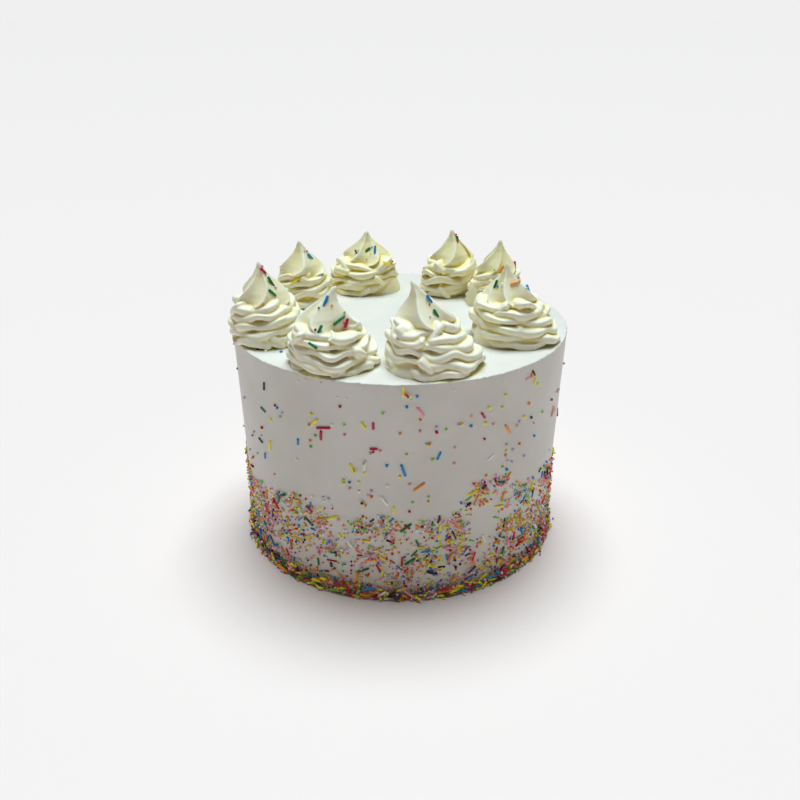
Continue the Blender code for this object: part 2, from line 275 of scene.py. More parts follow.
def keep_evaluated(obj: bpy.types.Object) -> None:
    """Make the object's evaluated shape its own mesh, and take its modifiers off."""
    graph = bpy.context.evaluated_depsgraph_get()
    mesh = bpy.data.meshes.new_from_object(obj.evaluated_get(graph), depsgraph=graph)
    mesh.name = obj.name
    obj.modifiers.clear()
    obj.data = mesh


def new_object(name: str, mesh: bpy.types.Mesh) -> bpy.types.Object:
    """Return an object that holds the mesh, linked to the scene."""
    obj = bpy.data.objects.new(name, mesh)
    bpy.context.scene.collection.objects.link(obj)
    return obj


def dress(obj: bpy.types.Object, material: bpy.types.Material) -> None:
    """Give a piece its one material, and let it ride on the cake."""
    obj.data.materials.clear()
    obj.data.materials.append(material)
    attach(obj, BODY)
    LOG.info("%s: %d faces, %s", obj.name, len(obj.data.polygons), material.name)


def ease(x: Any) -> Any:
    """Go from 0 to 1 without a corner."""
    x = np.clip(x, 0.0, 1.0)
    return x * x * (3 - 2 * x)


def wave(rng: np.random.Generator, length: float, terms: int = 6) -> Callable[[Any], Any]:
    """Return a smooth random function of a distance, about 1 high.

    Args:
        rng: where its lengths, phases and heights are drawn from.
        length: about how long its swings are.
        terms: how many sines it adds.

    Returns:
        The function.
    """
    lengths = length * rng.uniform(0.7, 1.7, terms)
    phases = rng.uniform(0, TAU, terms)
    heights = rng.uniform(0.5, 1.0, terms)
    heights /= np.sqrt((heights**2).sum())

    def height(distance: Any) -> Any:
        """Return the wave's height at a distance."""
        return sum(high * np.sin(TAU * distance / long + phase)
                   for high, long, phase in zip(heights, lengths, phases))

    return height


def ring_faces(rows: int, around: int) -> list[tuple[int, ...]]:
    """Return the faces of a tube of rings, with a many-sided cap at each end."""
    faces: list[tuple[int, ...]] = []
    for i in range(rows - 1):
        for j in range(around):
            k = (j + 1) % around
            faces.append((i * around + j, i * around + k, (i + 1) * around + k, (i + 1) * around + j))
    faces.append(tuple(reversed(range(around))))
    faces.append(tuple(range((rows - 1) * around, rows * around)))
    return faces


def turned_out(mesh: bpy.types.Mesh) -> None:
    """Turn a closed mesh's faces outwards."""
    shape = bmesh.new()
    shape.from_mesh(mesh)
    bmesh.ops.recalc_face_normals(shape, faces=shape.faces)
    shape.to_mesh(mesh)
    shape.free()


class Tint(Enum):
    """Colours of the sugar, as sRGB."""

    CRIMSON = "#C8143F"
    RED = "#EC352D"
    PINK = "#FFACBC"
    ORANGE = "#FF9C33"
    YELLOW = "#FFF11E"
    LIGHT_GREEN = "#A2E06A"
    DARK_GREEN = "#0A7B42"
    BLUE = "#0E90DA"
    PURPLE = "#451A3A"
    WHITE = "#FFFDF6"
    SILVER = "#C9C2DE"

    @property
    def number(self) -> int:
        """Place of this colour in the palette."""
        return list(Tint).index(self)


@dataclass(frozen=True)
class ScrapedButtercream:
    """Buttercream drawn smooth with a scraper: even, a little waxy, with pin-size air holes."""

    colour: str = "#E3DED7"
    shade: str = "#D9D5CC"
    blush: str = "#DDD0C8"
    # Painted glow: the colour of the yellow light from the swirls, painted on the icing round their feet, with its
    # reach and strength
    painted_glow: str = "#F2EBAA"
    painted_glow_reach: float = 3.2 * MM
    painted_glow_share: float = 0.85
    roughness: float = 0.42
    cloud: float = 45 * MM
    pit: float = 2.6 * MM
    pits_left_out: float = 0.86
    grain: float = 0.9 * MM

    def material(self) -> bpy.types.Material:
        """Return the icing's material, on Object coordinates."""
        made, shader, place = new_surface("scraped_buttercream", self.roughness, 1.45)
        tree = made.node_tree
        tone = range_node(tree, noise_node(tree, place, self.cloud, 4.0), 0.35, 0.70)
        warm = range_node(tree, noise_node(tree, place, self.cloud / 2.2, 2.0), 0.60, 0.80, 0.0, 0.55)
        base = blend_node(tree, tone, linear(self.colour), linear(self.shade))
        base = blend_node(tree, warm, base, linear(self.blush))
        # Painted glow: the yellow bounce light of the piped cream, painted into the icing close round each swirl,
        # and only on the top
        level = add_node(tree, "ShaderNodeSeparateXYZ", {0: place}).outputs[2]
        for swirl in SWIRLS:
            away = vector_node(tree, "DISTANCE", place, (swirl.x, swirl.y, swirl.floor)).outputs["Value"]
            rim = float(swirl.outline(0.0))
            near = range_node(tree, away, rim, rim + self.painted_glow_reach, self.painted_glow_share, 0.0,
                              interpolation_type="SMOOTHERSTEP")
            on_top = range_node(tree, level, swirl.floor - 1.2 * MM, swirl.floor)
            base = blend_node(tree, math_node(tree, "MULTIPLY", near, on_top), base, linear(self.painted_glow))
        # Popped air bubbles: round holes, most of them left out by the chance value of their cell
        cells = add_node(tree, "ShaderNodeTexVoronoi", {"Vector": place, "Scale": 1 / self.pit})
        hole = range_node(tree, cells.outputs["Distance"], 0.10, 0.20, 1.0, 0.0)
        chance = add_node(tree, "ShaderNodeSeparateColor", {0: cells.outputs["Color"]})
        few = math_node(tree, "GREATER_THAN", chance.outputs[0], self.pits_left_out)
        pits = math_node(tree, "MULTIPLY", hole, few)
        grain = math_node(tree, "MULTIPLY", noise_node(tree, place, self.grain, 3.0), 0.10)
        finish_surface(shader, base, math_node(tree, "SUBTRACT", grain, pits), 0.35, 0.3 * MM)
        let_light_in(shader, 0.15, (1.0, 0.8, 0.55))
        return made


@dataclass(frozen=True)
class PipedCream:
    """Whipped buttercream from a star nozzle: ivory, with painted shade that turns butter yellow in its folds."""

    # Ivory on the ridges to butter yellow deep in the folds: painted shade, for the shade and bounce light in the
    # folds
    ridge: str = "#F7F2DE"
    flank: str = "#F5ECC6"
    fold_shade: str = "#F2DF92"
    front: float = -70 * MM
    back: float = 40 * MM
    painted_bounce_saturation: float = 1.45
    # Painted bounce light: how much yellower the swirls at the back are made
    roughness: float = 0.48
    drift: float = 9 * MM
    grain: float = 0.7 * MM

    def material(self) -> bpy.types.Material:
        """Return the cream's material, whose colour follows the depth of the folds: painted shade, ivory on the
        ridges and butter yellow deep in the folds.
        """
        made, shader, place = new_surface("piped_buttercream", self.roughness, 1.45)
        tree = made.node_tree
        # Painted shade: the deeper a point lies in a fold, the yellower and darker its colour
        depth = add_node(tree, "ShaderNodeAttribute", attribute_name="fold_shade").outputs["Fac"]
        shift = math_node(tree, "MULTIPLY_ADD", noise_node(tree, place, self.drift, 2.0), 0.30, -0.15)
        ramp = add_node(tree, "ShaderNodeValToRGB", {0: math_node(tree, "ADD", depth, shift)})
        stops = ramp.color_ramp.elements
        for stop, position, colour in ((stops[0], 0.25, self.ridge), (stops[1], 0.85, self.fold_shade)):
            stop.position = position
            stop.color = linear(colour)
        stops.new(0.50).color = linear(self.flank)
        # Painted bounce light: the swirls at the back are made yellower, for the light that the icing's top throws
        # on them
        across = add_node(tree, "ShaderNodeSeparateXYZ", {0: place}).outputs[1]
        painted_bounce_saturation = range_node(tree, across, self.front, self.back, 1.0, self.painted_bounce_saturation)
        tinted = add_node(tree, "ShaderNodeHueSaturation", {"Color": ramp.outputs[0], "Saturation": painted_bounce_saturation})
        finish_surface(shader, tinted.outputs[0], noise_node(tree, place, self.grain, 4.0), 0.12, 0.3 * MM)
        let_light_in(shader, 0.18, (1.0, 0.85, 0.5))
        return made


@dataclass(frozen=True)
class SugarShell:
    """Pressed and glazed sugar: strong colour, a soft shine and a faint powdery mottle."""

    roughness: float = 0.30
    mottle: float = 0.6 * MM

    def material(self) -> bpy.types.Material:
        """Return the sprinkles' material, which takes its colour from each sprinkle's own attributes."""
        made, shader, place = new_surface("glazed_sugar", self.roughness, 1.50)
        tree = made.node_tree
        tint = add_node(tree, "ShaderNodeAttribute", attribute_name="tint").outputs["Fac"]
        ramp = add_node(tree, "ShaderNodeValToRGB", {0: tint})
        ramp.color_ramp.interpolation = "CONSTANT"
        for kind in Tint:
            position = kind.number / len(Tint)
            if kind.number < 2:
                ramp.color_ramp.elements[kind.number].position = position
            else:
                ramp.color_ramp.elements.new(position)
        for kind, stop in zip(Tint, ramp.color_ramp.elements):
            stop.color = linear(kind.value)
        mottle = noise_node(tree, place, self.mottle, 2.0)
        value = range_node(tree, mottle, 0.3, 0.7, 0.90, 1.06)
        colour = add_node(tree, "ShaderNodeHueSaturation", {"Color": ramp.outputs[0], "Value": value})
        finish_surface(shader, colour.outputs[0], mottle, 0.2, 0.1 * MM)
        return made


@dataclass(frozen=True)
class SeamlessPaper:
    """Matt white background paper."""

    colour: str = "#EADBD6"

    def material(self) -> bpy.types.Material:
        """Return the paper's material."""
        made = bpy.data.materials.new("seamless_paper")
        made.use_nodes = True
        shader = made.node_tree.nodes["Principled BSDF"]
        shader.inputs["Base Color"].default_value = linear(self.colour)
        shader.inputs["Roughness"].default_value = 0.9
        return made


@dataclass
class IcedDrum:
    """The cake under its buttercream: a drum a little wider at the top than at the foot."""

    foot_radius: float = 101.0 * MM
    top_radius: float = 104.0 * MM
    height: float = 140.8 * MM
    rim: float = 0.6 * MM
    around: int = 720
    side_rows: int = 70
    top_rows: int = 30
    undulation: float = 0.30 * MM
    scraper_lines: float = 0.07 * MM
    rim_chips: float = 0.55 * MM

    def radius(self, height: float) -> float:
        """Return the drum's radius at a height."""
        return self.foot_radius + (self.top_radius - self.foot_radius) * height / self.height

    def side_place(self, angle: float, height: float) -> Place:
        """Return a point on the side.

        Args:
            angle: how far round from +X, in radians.
            height: how far above the foot.

        Returns:
            The point, and the directions outwards, around and up there.
        """
        across = Vector((math.cos(angle), math.sin(angle), 0))
        around = Vector((-math.sin(angle), math.cos(angle), 0))
        up = (across * (self.top_radius - self.foot_radius) / self.height + Vector((0, 0, 1))).normalized()
        return across * self.radius(height) + Vector((0, 0, height)), around.cross(up), around, up

    def profile(self) -> list[tuple[float, float]]:
        """Return the turned outline, from the foot up the side and over the rim to near the middle."""
        low_rim = self.height - self.rim
        points = [(self.radius(z), z) for z in np.linspace(0, low_rim, self.side_rows)]
        turn = np.linspace(0, math.pi / 2, 5)[1:]
        points += [(self.top_radius - self.rim * (1 - math.cos(a)), low_rim + self.rim * math.sin(a))
                   for a in turn]
        reach = (self.top_radius - self.rim) * np.linspace(1, 0.004, self.top_rows)[1:] ** 0.85
        return points + [(r, self.height) for r in reach]

    def turned_mesh(self) -> bpy.types.Mesh:
        """Return the drum as a mesh of rings."""
        angles = np.linspace(0, TAU, self.around, endpoint=False)
        rings = [(r * math.cos(a), r * math.sin(a), z) for r, z in self.profile() for a in angles]
        mesh = bpy.data.meshes.new("iced_drum")
        mesh.from_pydata(rings, [], ring_faces(len(rings) // self.around, self.around))
        mesh.shade_smooth()
        return mesh

    def relief(self) -> tuple[Recipe, Any]:
        """Return the tree that gives the icing the unevenness of a hand-held scraper."""
        recipe = Recipe("scraped_relief")
        undulation = recipe.size("Undulation", self.undulation)
        lines = recipe.size("Scraper lines", self.scraper_lines)
        chips = recipe.size("Rim chips", self.rim_chips)
        place = recipe.node("GeometryNodeInputPosition").outputs[0]
        normal = recipe.node("GeometryNodeInputNormal").outputs[0]
        x, y, z = recipe.node("ShaderNodeSeparateXYZ", {0: place}).outputs[:3]

        def noise(scale: tuple[float, float, float], detail: float) -> Any:
            """Return a noise about zero, with a number of swings a metre along each axis."""
            stretched = recipe.vector("MULTIPLY", place, scale)
            node = recipe.node("ShaderNodeTexNoise", {"Vector": stretched, "Scale": 1.0, "Detail": detail})
            return recipe.math("SUBTRACT", node.outputs[0], 0.5)

        upright = recipe.math("SUBTRACT", 1.0, recipe.math("ABSOLUTE", recipe.node(
            "ShaderNodeSeparateXYZ", {0: normal}).outputs[2]))
        reach = recipe.vector("MULTIPLY", place, (1, 1, 0))
        reach = vector_node(recipe.tree, "LENGTH", reach).outputs["Value"]
        high = recipe.range(z, self.height - 2.5 * MM, self.height - 0.5 * MM)
        far_out = recipe.range(reach, self.top_radius - 3.0 * MM, self.top_radius - 1.2 * MM)
        near_rim = recipe.math("MULTIPLY", high, far_out)
        swell = recipe.math("MULTIPLY", noise((22, 22, 22), 2.0), recipe.math("MULTIPLY", undulation, 2.0))
        lined = recipe.math("MULTIPLY", noise((9, 9, 340), 2.0), recipe.math("MULTIPLY", lines, upright))
        rough = noise((430, 430, 430), 1.0)
        bumps = recipe.range(rough, 0.09, 0.20)
        nicks = recipe.range(rough, -0.09, -0.20)
        chipped = recipe.math("MULTIPLY", recipe.math("SUBTRACT", bumps, nicks),
                              recipe.math("MULTIPLY", chips, near_rim))
        total = recipe.math("ADD", recipe.math("ADD", swell, lined), chipped)
        off_floor = recipe.range(z, 0.0, 3 * MM)
        offset = recipe.vector("SCALE", normal, recipe.math("MULTIPLY", total, off_floor))
        moved = recipe.node("GeometryNodeSetPosition", {"Geometry": recipe.start.outputs[0], "Offset": offset})
        return recipe, moved.outputs[0]

    def build(self, material: bpy.types.Material) -> bpy.types.Object:
        """Return the finished drum, which stands for the cake's solid."""
        piece = new_object("iced_drum", self.turned_mesh())
        recipe, geometry = self.relief()
        recipe.run(piece, geometry)
        dress(piece, material)
        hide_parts("cake_body")
        return piece


@dataclass(frozen=True)
class Skirt:
    """Cream pressed smooth against the cake, over the first ribbons on one side of a swirl."""

    middle: float
    half_width: float
    height: float
    reach: float


@dataclass
class PipedSwirl:
    """One swirl: three ribbons that climb to a ridged bud, as a star nozzle leaves them.

    The ribbons and ridges follow the same named sizes and random draws as the swirl's solid. The places
    where a ribbon folds back on itself, and the smooth skirt, come on top.
    """

    number: int
    x: float
    y: float
    radius: float
    height: float
    hand: int
    start: float
    bud: float
    lean: float
    tip: float
    full: float
    folds: tuple[tuple[float, float], ...] = ()
    skirt: Skirt | None = None
    floor: float = 140.8 * MM
    sink: float = 0.4 * MM
    ribbons: int = 3
    turns: tuple[float, float] = (-0.12, 1.62)
    foot: float = 0.055
    head: float = 0.53
    thickness: float = 0.104
    in_out: tuple[float, float] = (0.052, 24 * MM)
    up_down: tuple[float, float] = (0.024, 30 * MM)
    swell: tuple[float, float] = (0.20, 28 * MM)
    fold_run: float = 15 * MM
    fold_back: float = 0.46
    fold_drop: float = 0.085
    fold_proud: float = 0.9 * MM
    sides: int = 5
    hollow: float = 0.27
    twist: float = 70.0
    twist_rate: float = 5.0
    uneven: float = 0.30
    bud_foot: float = 0.45
    voxel: float = 0.45 * MM
    outline_heights: tuple[float, ...] = (0.0, 0.06, 0.20, 0.35, 0.50, 0.60)
    outline_reach: tuple[float, ...] = (0.97, 1.00, 0.93, 0.78, 0.60, 0.50)
    outline_full: tuple[float, ...] = (0.90, 0.97, 1.00, 0.98, 0.90, 0.76)
    core: tuple[tuple[float, float], ...] = (
        (-0.02, 0.80), (0.06, 0.80), (0.16, 0.77), (0.30, 0.72), (0.44, 0.64), (0.60, 0.30))
    bud_levels: tuple[float, ...] = (0.0, 0.05, 0.13, 0.22, 0.33, 0.45, 0.55, 0.69, 0.85, 0.95, 1.0)
    bud_reach: tuple[float, ...] = (0.52, 0.90, 1.06, 1.03, 0.91, 0.73, 0.56, 0.33, 0.16, 0.09, 0.03)

    def outline(self, part: Any) -> Any:
        """Return how far the swirl reaches from its middle at a part of its height."""
        drawn_in = np.interp(part, self.outline_heights, self.outline_reach)
        full = np.interp(part, self.outline_heights, self.outline_full)
        return self.radius * (drawn_in + self.full * (full - drawn_in))

    def lean_at(self, part: Any) -> Any:
        """Return how far the swirl's middle has moved sideways at a part of its height."""
        return self.lean * ease(1.7 * part)

    def folded(self, starts: Sequence[float], index: int, turns: np.ndarray, run: np.ndarray) -> np.ndarray:
        """Return how far a ribbon is pushed along its run, up and out where it folds back on itself.

        Args:
            starts: where each ribbon leaves the cake, in degrees.
            index: which of the ribbons.
            turns: the ribbon's sections, in turns of its climb.
            run: how far along the ribbon each section lies.

        Returns:
            Three rows: along, up and out.
        """
        pushed = np.zeros((3, len(turns)))
        last = self.turns[1]
        for count, (degrees, part) in enumerate(self.folds):
            wanted = np.interp(part, (self.foot, self.head), (0.0, 1.6))
            choices = []
            for ribbon, start in enumerate(starts):
                first = (self.hand * (degrees - start) / 360.0) % 1.0
                choices += [(abs(first + lap - wanted), ribbon, first + lap) for lap in (-1, 0, 1)]
            _, ribbon, turn = min(choices)
            if ribbon != index or not self.turns[0] + 0.05 < turn < last - 0.05:
                continue
            share = (run - np.interp(turn, turns, run)) / self.fold_run
            share = np.where(np.abs(share) < 0.5, share, 0.5)
            swing, window = np.sin(TAU * share), np.cos(math.pi * share) ** 2
            way = 1 if count % 2 else -1
            pushed[0] -= self.fold_back * self.fold_run * swing
            pushed[1] -= way * self.fold_drop * self.height * swing * window
            pushed[2] += self.fold_proud * window
        return pushed

    def ribbon_rings(self, index: int, steps: int = 640, around: int = 36) -> np.ndarray:
        """Return the sections of one ribbon, each square to the way that it runs there.

        Args:
            index: which of the ribbons.
            steps: how many sections it has.
            around: how many points each section has.

        Returns:
            The points, section by section.
        """
        draws = [np.random.default_rng(10 * self.number + each) for each in range(self.ribbons)]
        waves = [[wave(rng, size[1]) for size in (self.in_out, self.up_down, self.swell)] for rng in draws]
        starts = [self.start + 360.0 / self.ribbons * each + rng.uniform(-25.0, 25.0)
                  for each, rng in enumerate(draws)]
        in_out, up_down, swell = waves[index]
        turns = np.linspace(*self.turns, steps)
        parts = np.interp(turns, (self.turns[0], 0.0, 1.6), (0.8 * self.foot, self.foot, self.head))
        run = np.concatenate([[0.0], np.cumsum(TAU * np.diff(turns) * self.outline(parts)[1:])])
        curl = wave(np.random.default_rng(500 + 10 * self.number + index), 24 * MM)
        pushed = self.folded(starts, index, turns, run)

        reach = self.outline(parts) + self.in_out[0] * self.radius * in_out(run) + pushed[2]
        half = 0.5 * self.thickness * self.height * (1 + self.swell[0] * swell(run))
        height = parts * self.height + self.up_down[0] * self.height * up_down(run)
        height = np.maximum(height + pushed[1], 0.75 * half)
        deep = 0.17 * self.radius + 0.8 * half
        angle = self.hand * (TAU * turns + pushed[0] / reach) + math.radians(starts[index])
        slope = np.arctan2(np.gradient(height), reach * np.gradient(angle) * self.hand)
        around_it = np.linspace(0, TAU, around, endpoint=False)
        cos, sin = np.cos(around_it), np.sin(around_it)
        straight = np.clip(np.cos(slope), 0, 1)[:, None] ** 2
        squarish = 2.2 + straight
        size = (np.abs(cos) ** squarish + np.abs(sin) ** squarish) ** (-1 / squarish)
        ends = np.minimum(turns - self.turns[0], self.turns[1] - turns) / 0.045
        ends = np.sqrt(np.clip(1 - (1 - np.clip(ends, 0, 1)) ** 2, 0.02, 1))
        outward = size * cos * (deep * ends)[:, None]
        upward = size * sin * (half * ends)[:, None]
        front = np.clip(outward / deep[:, None], 0, 1) * straight
        tilt = (-0.20 + 0.20 * curl(run)) * 0.095 * self.height
        upward = upward + tilt[:, None] * front**2 + 0.35 * half[:, None] * front**5 * (sin > 0)
        outward = outward - 0.35 * half[:, None] * np.clip(-sin, 0, 1) * front

        rings = np.empty((steps, around, 3))
        distance = (reach - deep)[:, None] + outward
        sideways = -self.hand * np.sin(slope)[:, None] * upward
        rings[..., 0] = (self.lean_at(parts)[:, None] + distance * np.cos(angle)[:, None]
                         - sideways * np.sin(angle)[:, None])
        rings[..., 1] = distance * np.sin(angle)[:, None] + sideways * np.cos(angle)[:, None]
        rings[..., 2] = np.maximum(height[:, None] + np.cos(slope)[:, None] * upward, -0.8 * MM)
        return rings

    def bud_rings(self, rows: int = 150, around: int = 260) -> np.ndarray:
        """Return the sections of the bud, whose hollow sides meet in ridges and run together at the tip."""
        rng = np.random.default_rng(100 + self.number)
        uneven, turn = wave(rng, TAU), rng.uniform(0, TAU)
        fine = np.random.default_rng(700 + self.number)
        swell, sag, warp = wave(fine, 2.4), wave(fine, 2.2), wave(fine, 0.9)
        level = np.linspace(0, 1, rows)
        part = self.bud_foot + (1 - self.bud_foot) * level
        reach = self.bud * self.radius * np.interp(level, self.bud_levels, self.bud_reach)
        kernel = np.hanning(9) / np.hanning(9).sum()
        reach = np.convolve(np.pad(reach, 4, "edge"), kernel, "valid")
        depth = self.hollow * np.interp(level, (0, 0.1, 0.5, 0.85, 1), (0.7, 0.9, 1.15, 1.1, 0.4))
        twist = math.radians(self.twist) * (1 - np.exp(-self.twist_rate * level))
        middle = self.lean_at(part) + self.tip * np.clip((level - 0.25) / 0.75, 0, 1) ** 1.7

        phase = np.linspace(0, self.sides, around, endpoint=False)
        angles = TAU * phase / self.sides
        angles = angles + self.uneven * uneven(angles) + turn
        hollow = 1 - np.abs(2 * (phase % 1.0) - 1) ** 2.3
        rings = np.empty((rows, around, 3))
        for row, ring in enumerate(rings):
            up = level[row]
            turned = angles + self.hand * twist[row] + 0.04 * warp(up + 0 * angles)
            radii = reach[row] * (1 - depth[row] * hollow) * (1 + 0.04 * swell(np.sin(angles) + up))
            ring[:, 0] = middle[row] + radii * np.cos(turned)
            ring[:, 1] = radii * np.sin(turned)
            drop = (0.05 * hollow + 0.015 * sag(2 * np.cos(angles))) * max(0.0, 1 - up / 0.35)
            ring[:, 2] = (part[row] - drop) * self.height
        return rings

    def skirt_rings(self, skirt: Skirt, rows: int = 16, around: int = 120) -> np.ndarray:
        """Return the sections of the smooth skirt, which draws in under the ribbons outside its own width."""
        angles = np.linspace(0, TAU, around, endpoint=False)
        off = (np.degrees(angles) - skirt.middle + 180) % 360 - 180
        window = np.cos(math.pi / 2 * np.clip(off / skirt.half_width, -1, 1)) ** 2
        inner = 0.60
        reach = self.outline(0.03) * (inner + (skirt.reach - inner) * window**0.4)
        height = skirt.height * self.height * (0.25 + 0.75 * window)
        rings = [np.stack([reach * np.cos(angles), reach * np.sin(angles), np.full(around, -0.8 * MM)], 1)]
        for turn in np.linspace(0, math.pi / 2, rows):
            share = math.cos(turn) ** 0.7
            out = inner * self.outline(0.03) * (1 - share) + reach * share
            rings.append(np.stack([out * np.cos(angles), out * np.sin(angles), height * math.sin(turn)], 1))
        return np.array(rings)

    def core_rings(self, around: int = 32) -> np.ndarray:
        """Return the sections of the cream behind the ribbons."""
        angles = np.linspace(0, TAU, around, endpoint=False)
        rings = []
        for part, share in self.core:
            reach = share * self.outline(part)
            x = self.lean_at(part) + reach * np.cos(angles)
            rings.append(np.stack([x, reach * np.sin(angles), np.full(around, part * self.height)], 1))
        return np.array(rings)

    def rough_mesh(self) -> bpy.types.Mesh:
        """Return ribbons, skirt, bud and core as one mesh of shells that pass through each other."""
        shape = bmesh.new()
        shells = [self.ribbon_rings(index) for index in range(self.ribbons)]
        if self.skirt:
            shells.append(self.skirt_rings(self.skirt))
        for rings in (*shells, self.bud_rings(), self.core_rings()):
            shell = bpy.data.meshes.new("shell")
            shell.from_pydata(rings.reshape(-1, 3).tolist(), [], ring_faces(*rings.shape[:2]))
            turned_out(shell)
            shape.from_mesh(shell)
            bpy.data.meshes.remove(shell)
        mesh = bpy.data.meshes.new(f"swirl_cream_{self.number}")
        shape.to_mesh(mesh)
        shape.free()
        return mesh

    def cut_flat(self, mesh: bpy.types.Mesh) -> None:
        """Cut the foot off at the icing and close the cut."""
        shape = bmesh.new()
        shape.from_mesh(mesh)
        everything = [*shape.verts, *shape.edges, *shape.faces]
        bmesh.ops.bisect_plane(shape, geom=everything, plane_co=(0, 0, 0), plane_no=(0, 0, 1),
                               clear_inner=True)
        open_edges = [edge for edge in shape.edges if edge.is_boundary]
        bmesh.ops.edgeloop_fill(shape, edges=open_edges)
        bmesh.ops.recalc_face_normals(shape, faces=shape.faces)
        bmesh.ops.translate(shape, verts=shape.verts, vec=(self.x, self.y, self.floor - self.sink))
        shape.to_mesh(mesh)
        shape.free()
        mesh.shade_smooth()

    def fold_depth(self) -> tuple[Recipe, Any]:
        """Return the tree that stores how deep in its folds each point lies, from 0 on a ridge to 1, as the mask
        of the cream's painted shade.
        """
        recipe = Recipe("fold_depth")
        blur = recipe.size("Blur steps", 24, "NodeSocketInt")
        deepest = recipe.size("Deepest fold", 0.6 * MM)
        place = recipe.node("GeometryNodeInputPosition").outputs[0]
        normal = recipe.node("GeometryNodeInputNormal").outputs[0]
        blurred = recipe.node("GeometryNodeBlurAttribute", data_type="FLOAT_VECTOR")
        recipe.tree.links.new(place, blurred.inputs["Value"])
        recipe.tree.links.new(blur, blurred.inputs["Iterations"])
        away = recipe.vector("SUBTRACT", blurred.outputs[0], place)
        depth = vector_node(recipe.tree, "DOT_PRODUCT", away, normal).outputs["Value"]
        level = recipe.math("MULTIPLY_ADD", recipe.math("DIVIDE", depth, deepest), 0.5, 0.42)
        stored = recipe.store(recipe.start.outputs[0], "fold_shade", level)
        return recipe, stored

    def build(self, material: bpy.types.Material) -> bpy.types.Object:
        """Return the finished swirl, which stands for its solid."""
        piece = new_object(f"swirl_cream_{self.number}", self.rough_mesh())
        remesh = piece.modifiers.new("one_skin", "REMESH")
        remesh.mode = "VOXEL"
        remesh.voxel_size = self.voxel
        remesh.use_smooth_shade = True
        smooth = piece.modifiers.new("soften", "SMOOTH")
        smooth.factor = 0.5
        smooth.iterations = 1
        keep_evaluated(piece)
        self.cut_flat(piece.data)
        recipe, geometry = self.fold_depth()
        recipe.run(piece, geometry)
        dress(piece, material)
        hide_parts(f"swirl_{self.number}")
        return piece


# Each with the places where its ribbons fold back: degrees round it and part of its height
SWIRLS = (
    PipedSwirl(1, -0.0770, -0.0315, 0.0236, 0.0460, 1, 200, 0.66, -0.0030, -0.0015, 0.45,
               ((-70, 0.16), (-150, 0.42), (-95, 0.07), (-20, 0.34), (60, 0.2), (140, 0.4))),
    PipedSwirl(2, -0.0635, 0.0386, 0.0200, 0.0410, 1, 90, 0.78, -0.0010, -0.0015, 0.5,
               ((-75, 0.40), (-130, 0.22), (20, 0.3), (110, 0.15), (170, 0.38))),
    PipedSwirl(3, -0.0267, 0.0703, 0.0238, 0.0400, 1, 250, 0.72, 0.0030, 0.0010, 0.8,
               ((-130, 0.42), (-85, 0.10), (-60, 0.34), (60, 0.3), (130, 0.15), (95, 0.45)),
               Skirt(-18, 62, 0.34, 1.22)),
    PipedSwirl(4, 0.0310, 0.0612, 0.0192, 0.0430, 1, 240, 0.82, 0.0050, -0.0010, 1.0,
               ((-120, 0.46), (-50, 0.30), (-95, 0.12), (50, 0.2), (120, 0.4))),
    PipedSwirl(5, 0.0618, 0.0370, 0.0180, 0.0420, 1, 200, 0.78, 0.0030, 0.0005, 0.6,
               ((-100, 0.44), (-40, 0.30), (30, 0.45), (100, 0.2), (160, 0.42)), Skirt(205, 48, 0.42, 1.08)),
    PipedSwirl(6, 0.0695, -0.0297, 0.0262, 0.0450, -1, 160, 0.62, -0.0060, -0.0020, 0.5,
               ((-112, 0.42), (-80, 0.22), (-40, 0.36), (-20, 0.12), (60, 0.35), (120, 0.2)),
               Skirt(208, 52, 0.34, 1.10)),
    PipedSwirl(7, 0.0196, -0.0732, 0.0276, 0.0470, -1, 150, 0.60, -0.0065, -0.0070, 0.25,
               ((-108, 0.36), (-130, 0.45), (-75, 0.42), (-100, 0.2), (-30, 0.14), (70, 0.3), (140, 0.4)),
               Skirt(222, 55, 0.20, 1.08)),
    PipedSwirl(8, -0.0363, -0.0713, 0.0250, 0.0436, -1, 170, 0.66, -0.0040, 0.0060, 0.5,
               ((-82, 0.10), (-42, 0.26), (-140, 0.38), (-70, 0.45), (-150, 0.15), (60, 0.3), (130, 0.2))),
)


@dataclass
class Sprinkle:
    """One piece of sugar: where its middle is, which way it lies, and its size and colour."""

    place: Vector
    along: Vector
    outward: Vector
    length: float
    width: float
    tint: Tint
    bend: float = 0.0


@dataclass
class Footprints:
    """Where sprinkles already lie on the unrolled side: a line, a width and a layer for each."""

    most: int = 8000
    count: int = 0
    lines: np.ndarray = field(init=False)

    def __post_init__(self) -> None:
        """Make room for all of them, in rows of start, run, width and layer."""
        self.lines = np.zeros((self.most, 6))

    def layers_under(self, start: np.ndarray, end: np.ndarray, width: float) -> int:
        """Return how many layers lie under a new sprinkle.

        Args:
            start: one end, as a distance round and a height.
            end: the other end.
            width: how wide it is.

        Returns:
            0 where it lies on the icing.
        """
        laid = self.lines[: self.count]
        near = laid[np.abs(laid[:, 1] - start[1]) < 12 * MM]
        lengths = np.maximum((near[:, 2:4] ** 2).sum(1), 1e-12)
        over = np.zeros(len(near), bool)
        for share in np.linspace(0, 1, 7):
            away = start + (end - start) * share - near[:, :2]
            along = np.clip((away * near[:, 2:4]).sum(1) / lengths, 0, 1)
            distance = np.linalg.norm(away - near[:, 2:4] * along[:, None], axis=1)
            over |= distance < 0.45 * (near[:, 4] + width)
        return int(near[over, 5].max()) if over.any() else 0

    def add(self, start: np.ndarray, end: np.ndarray, width: float, layer: int) -> None:
        """Keep a sprinkle's footprint, with the layer that it lies in."""
        self.lines[self.count] = (*start, *(end - start), width, layer)
        self.count += 1


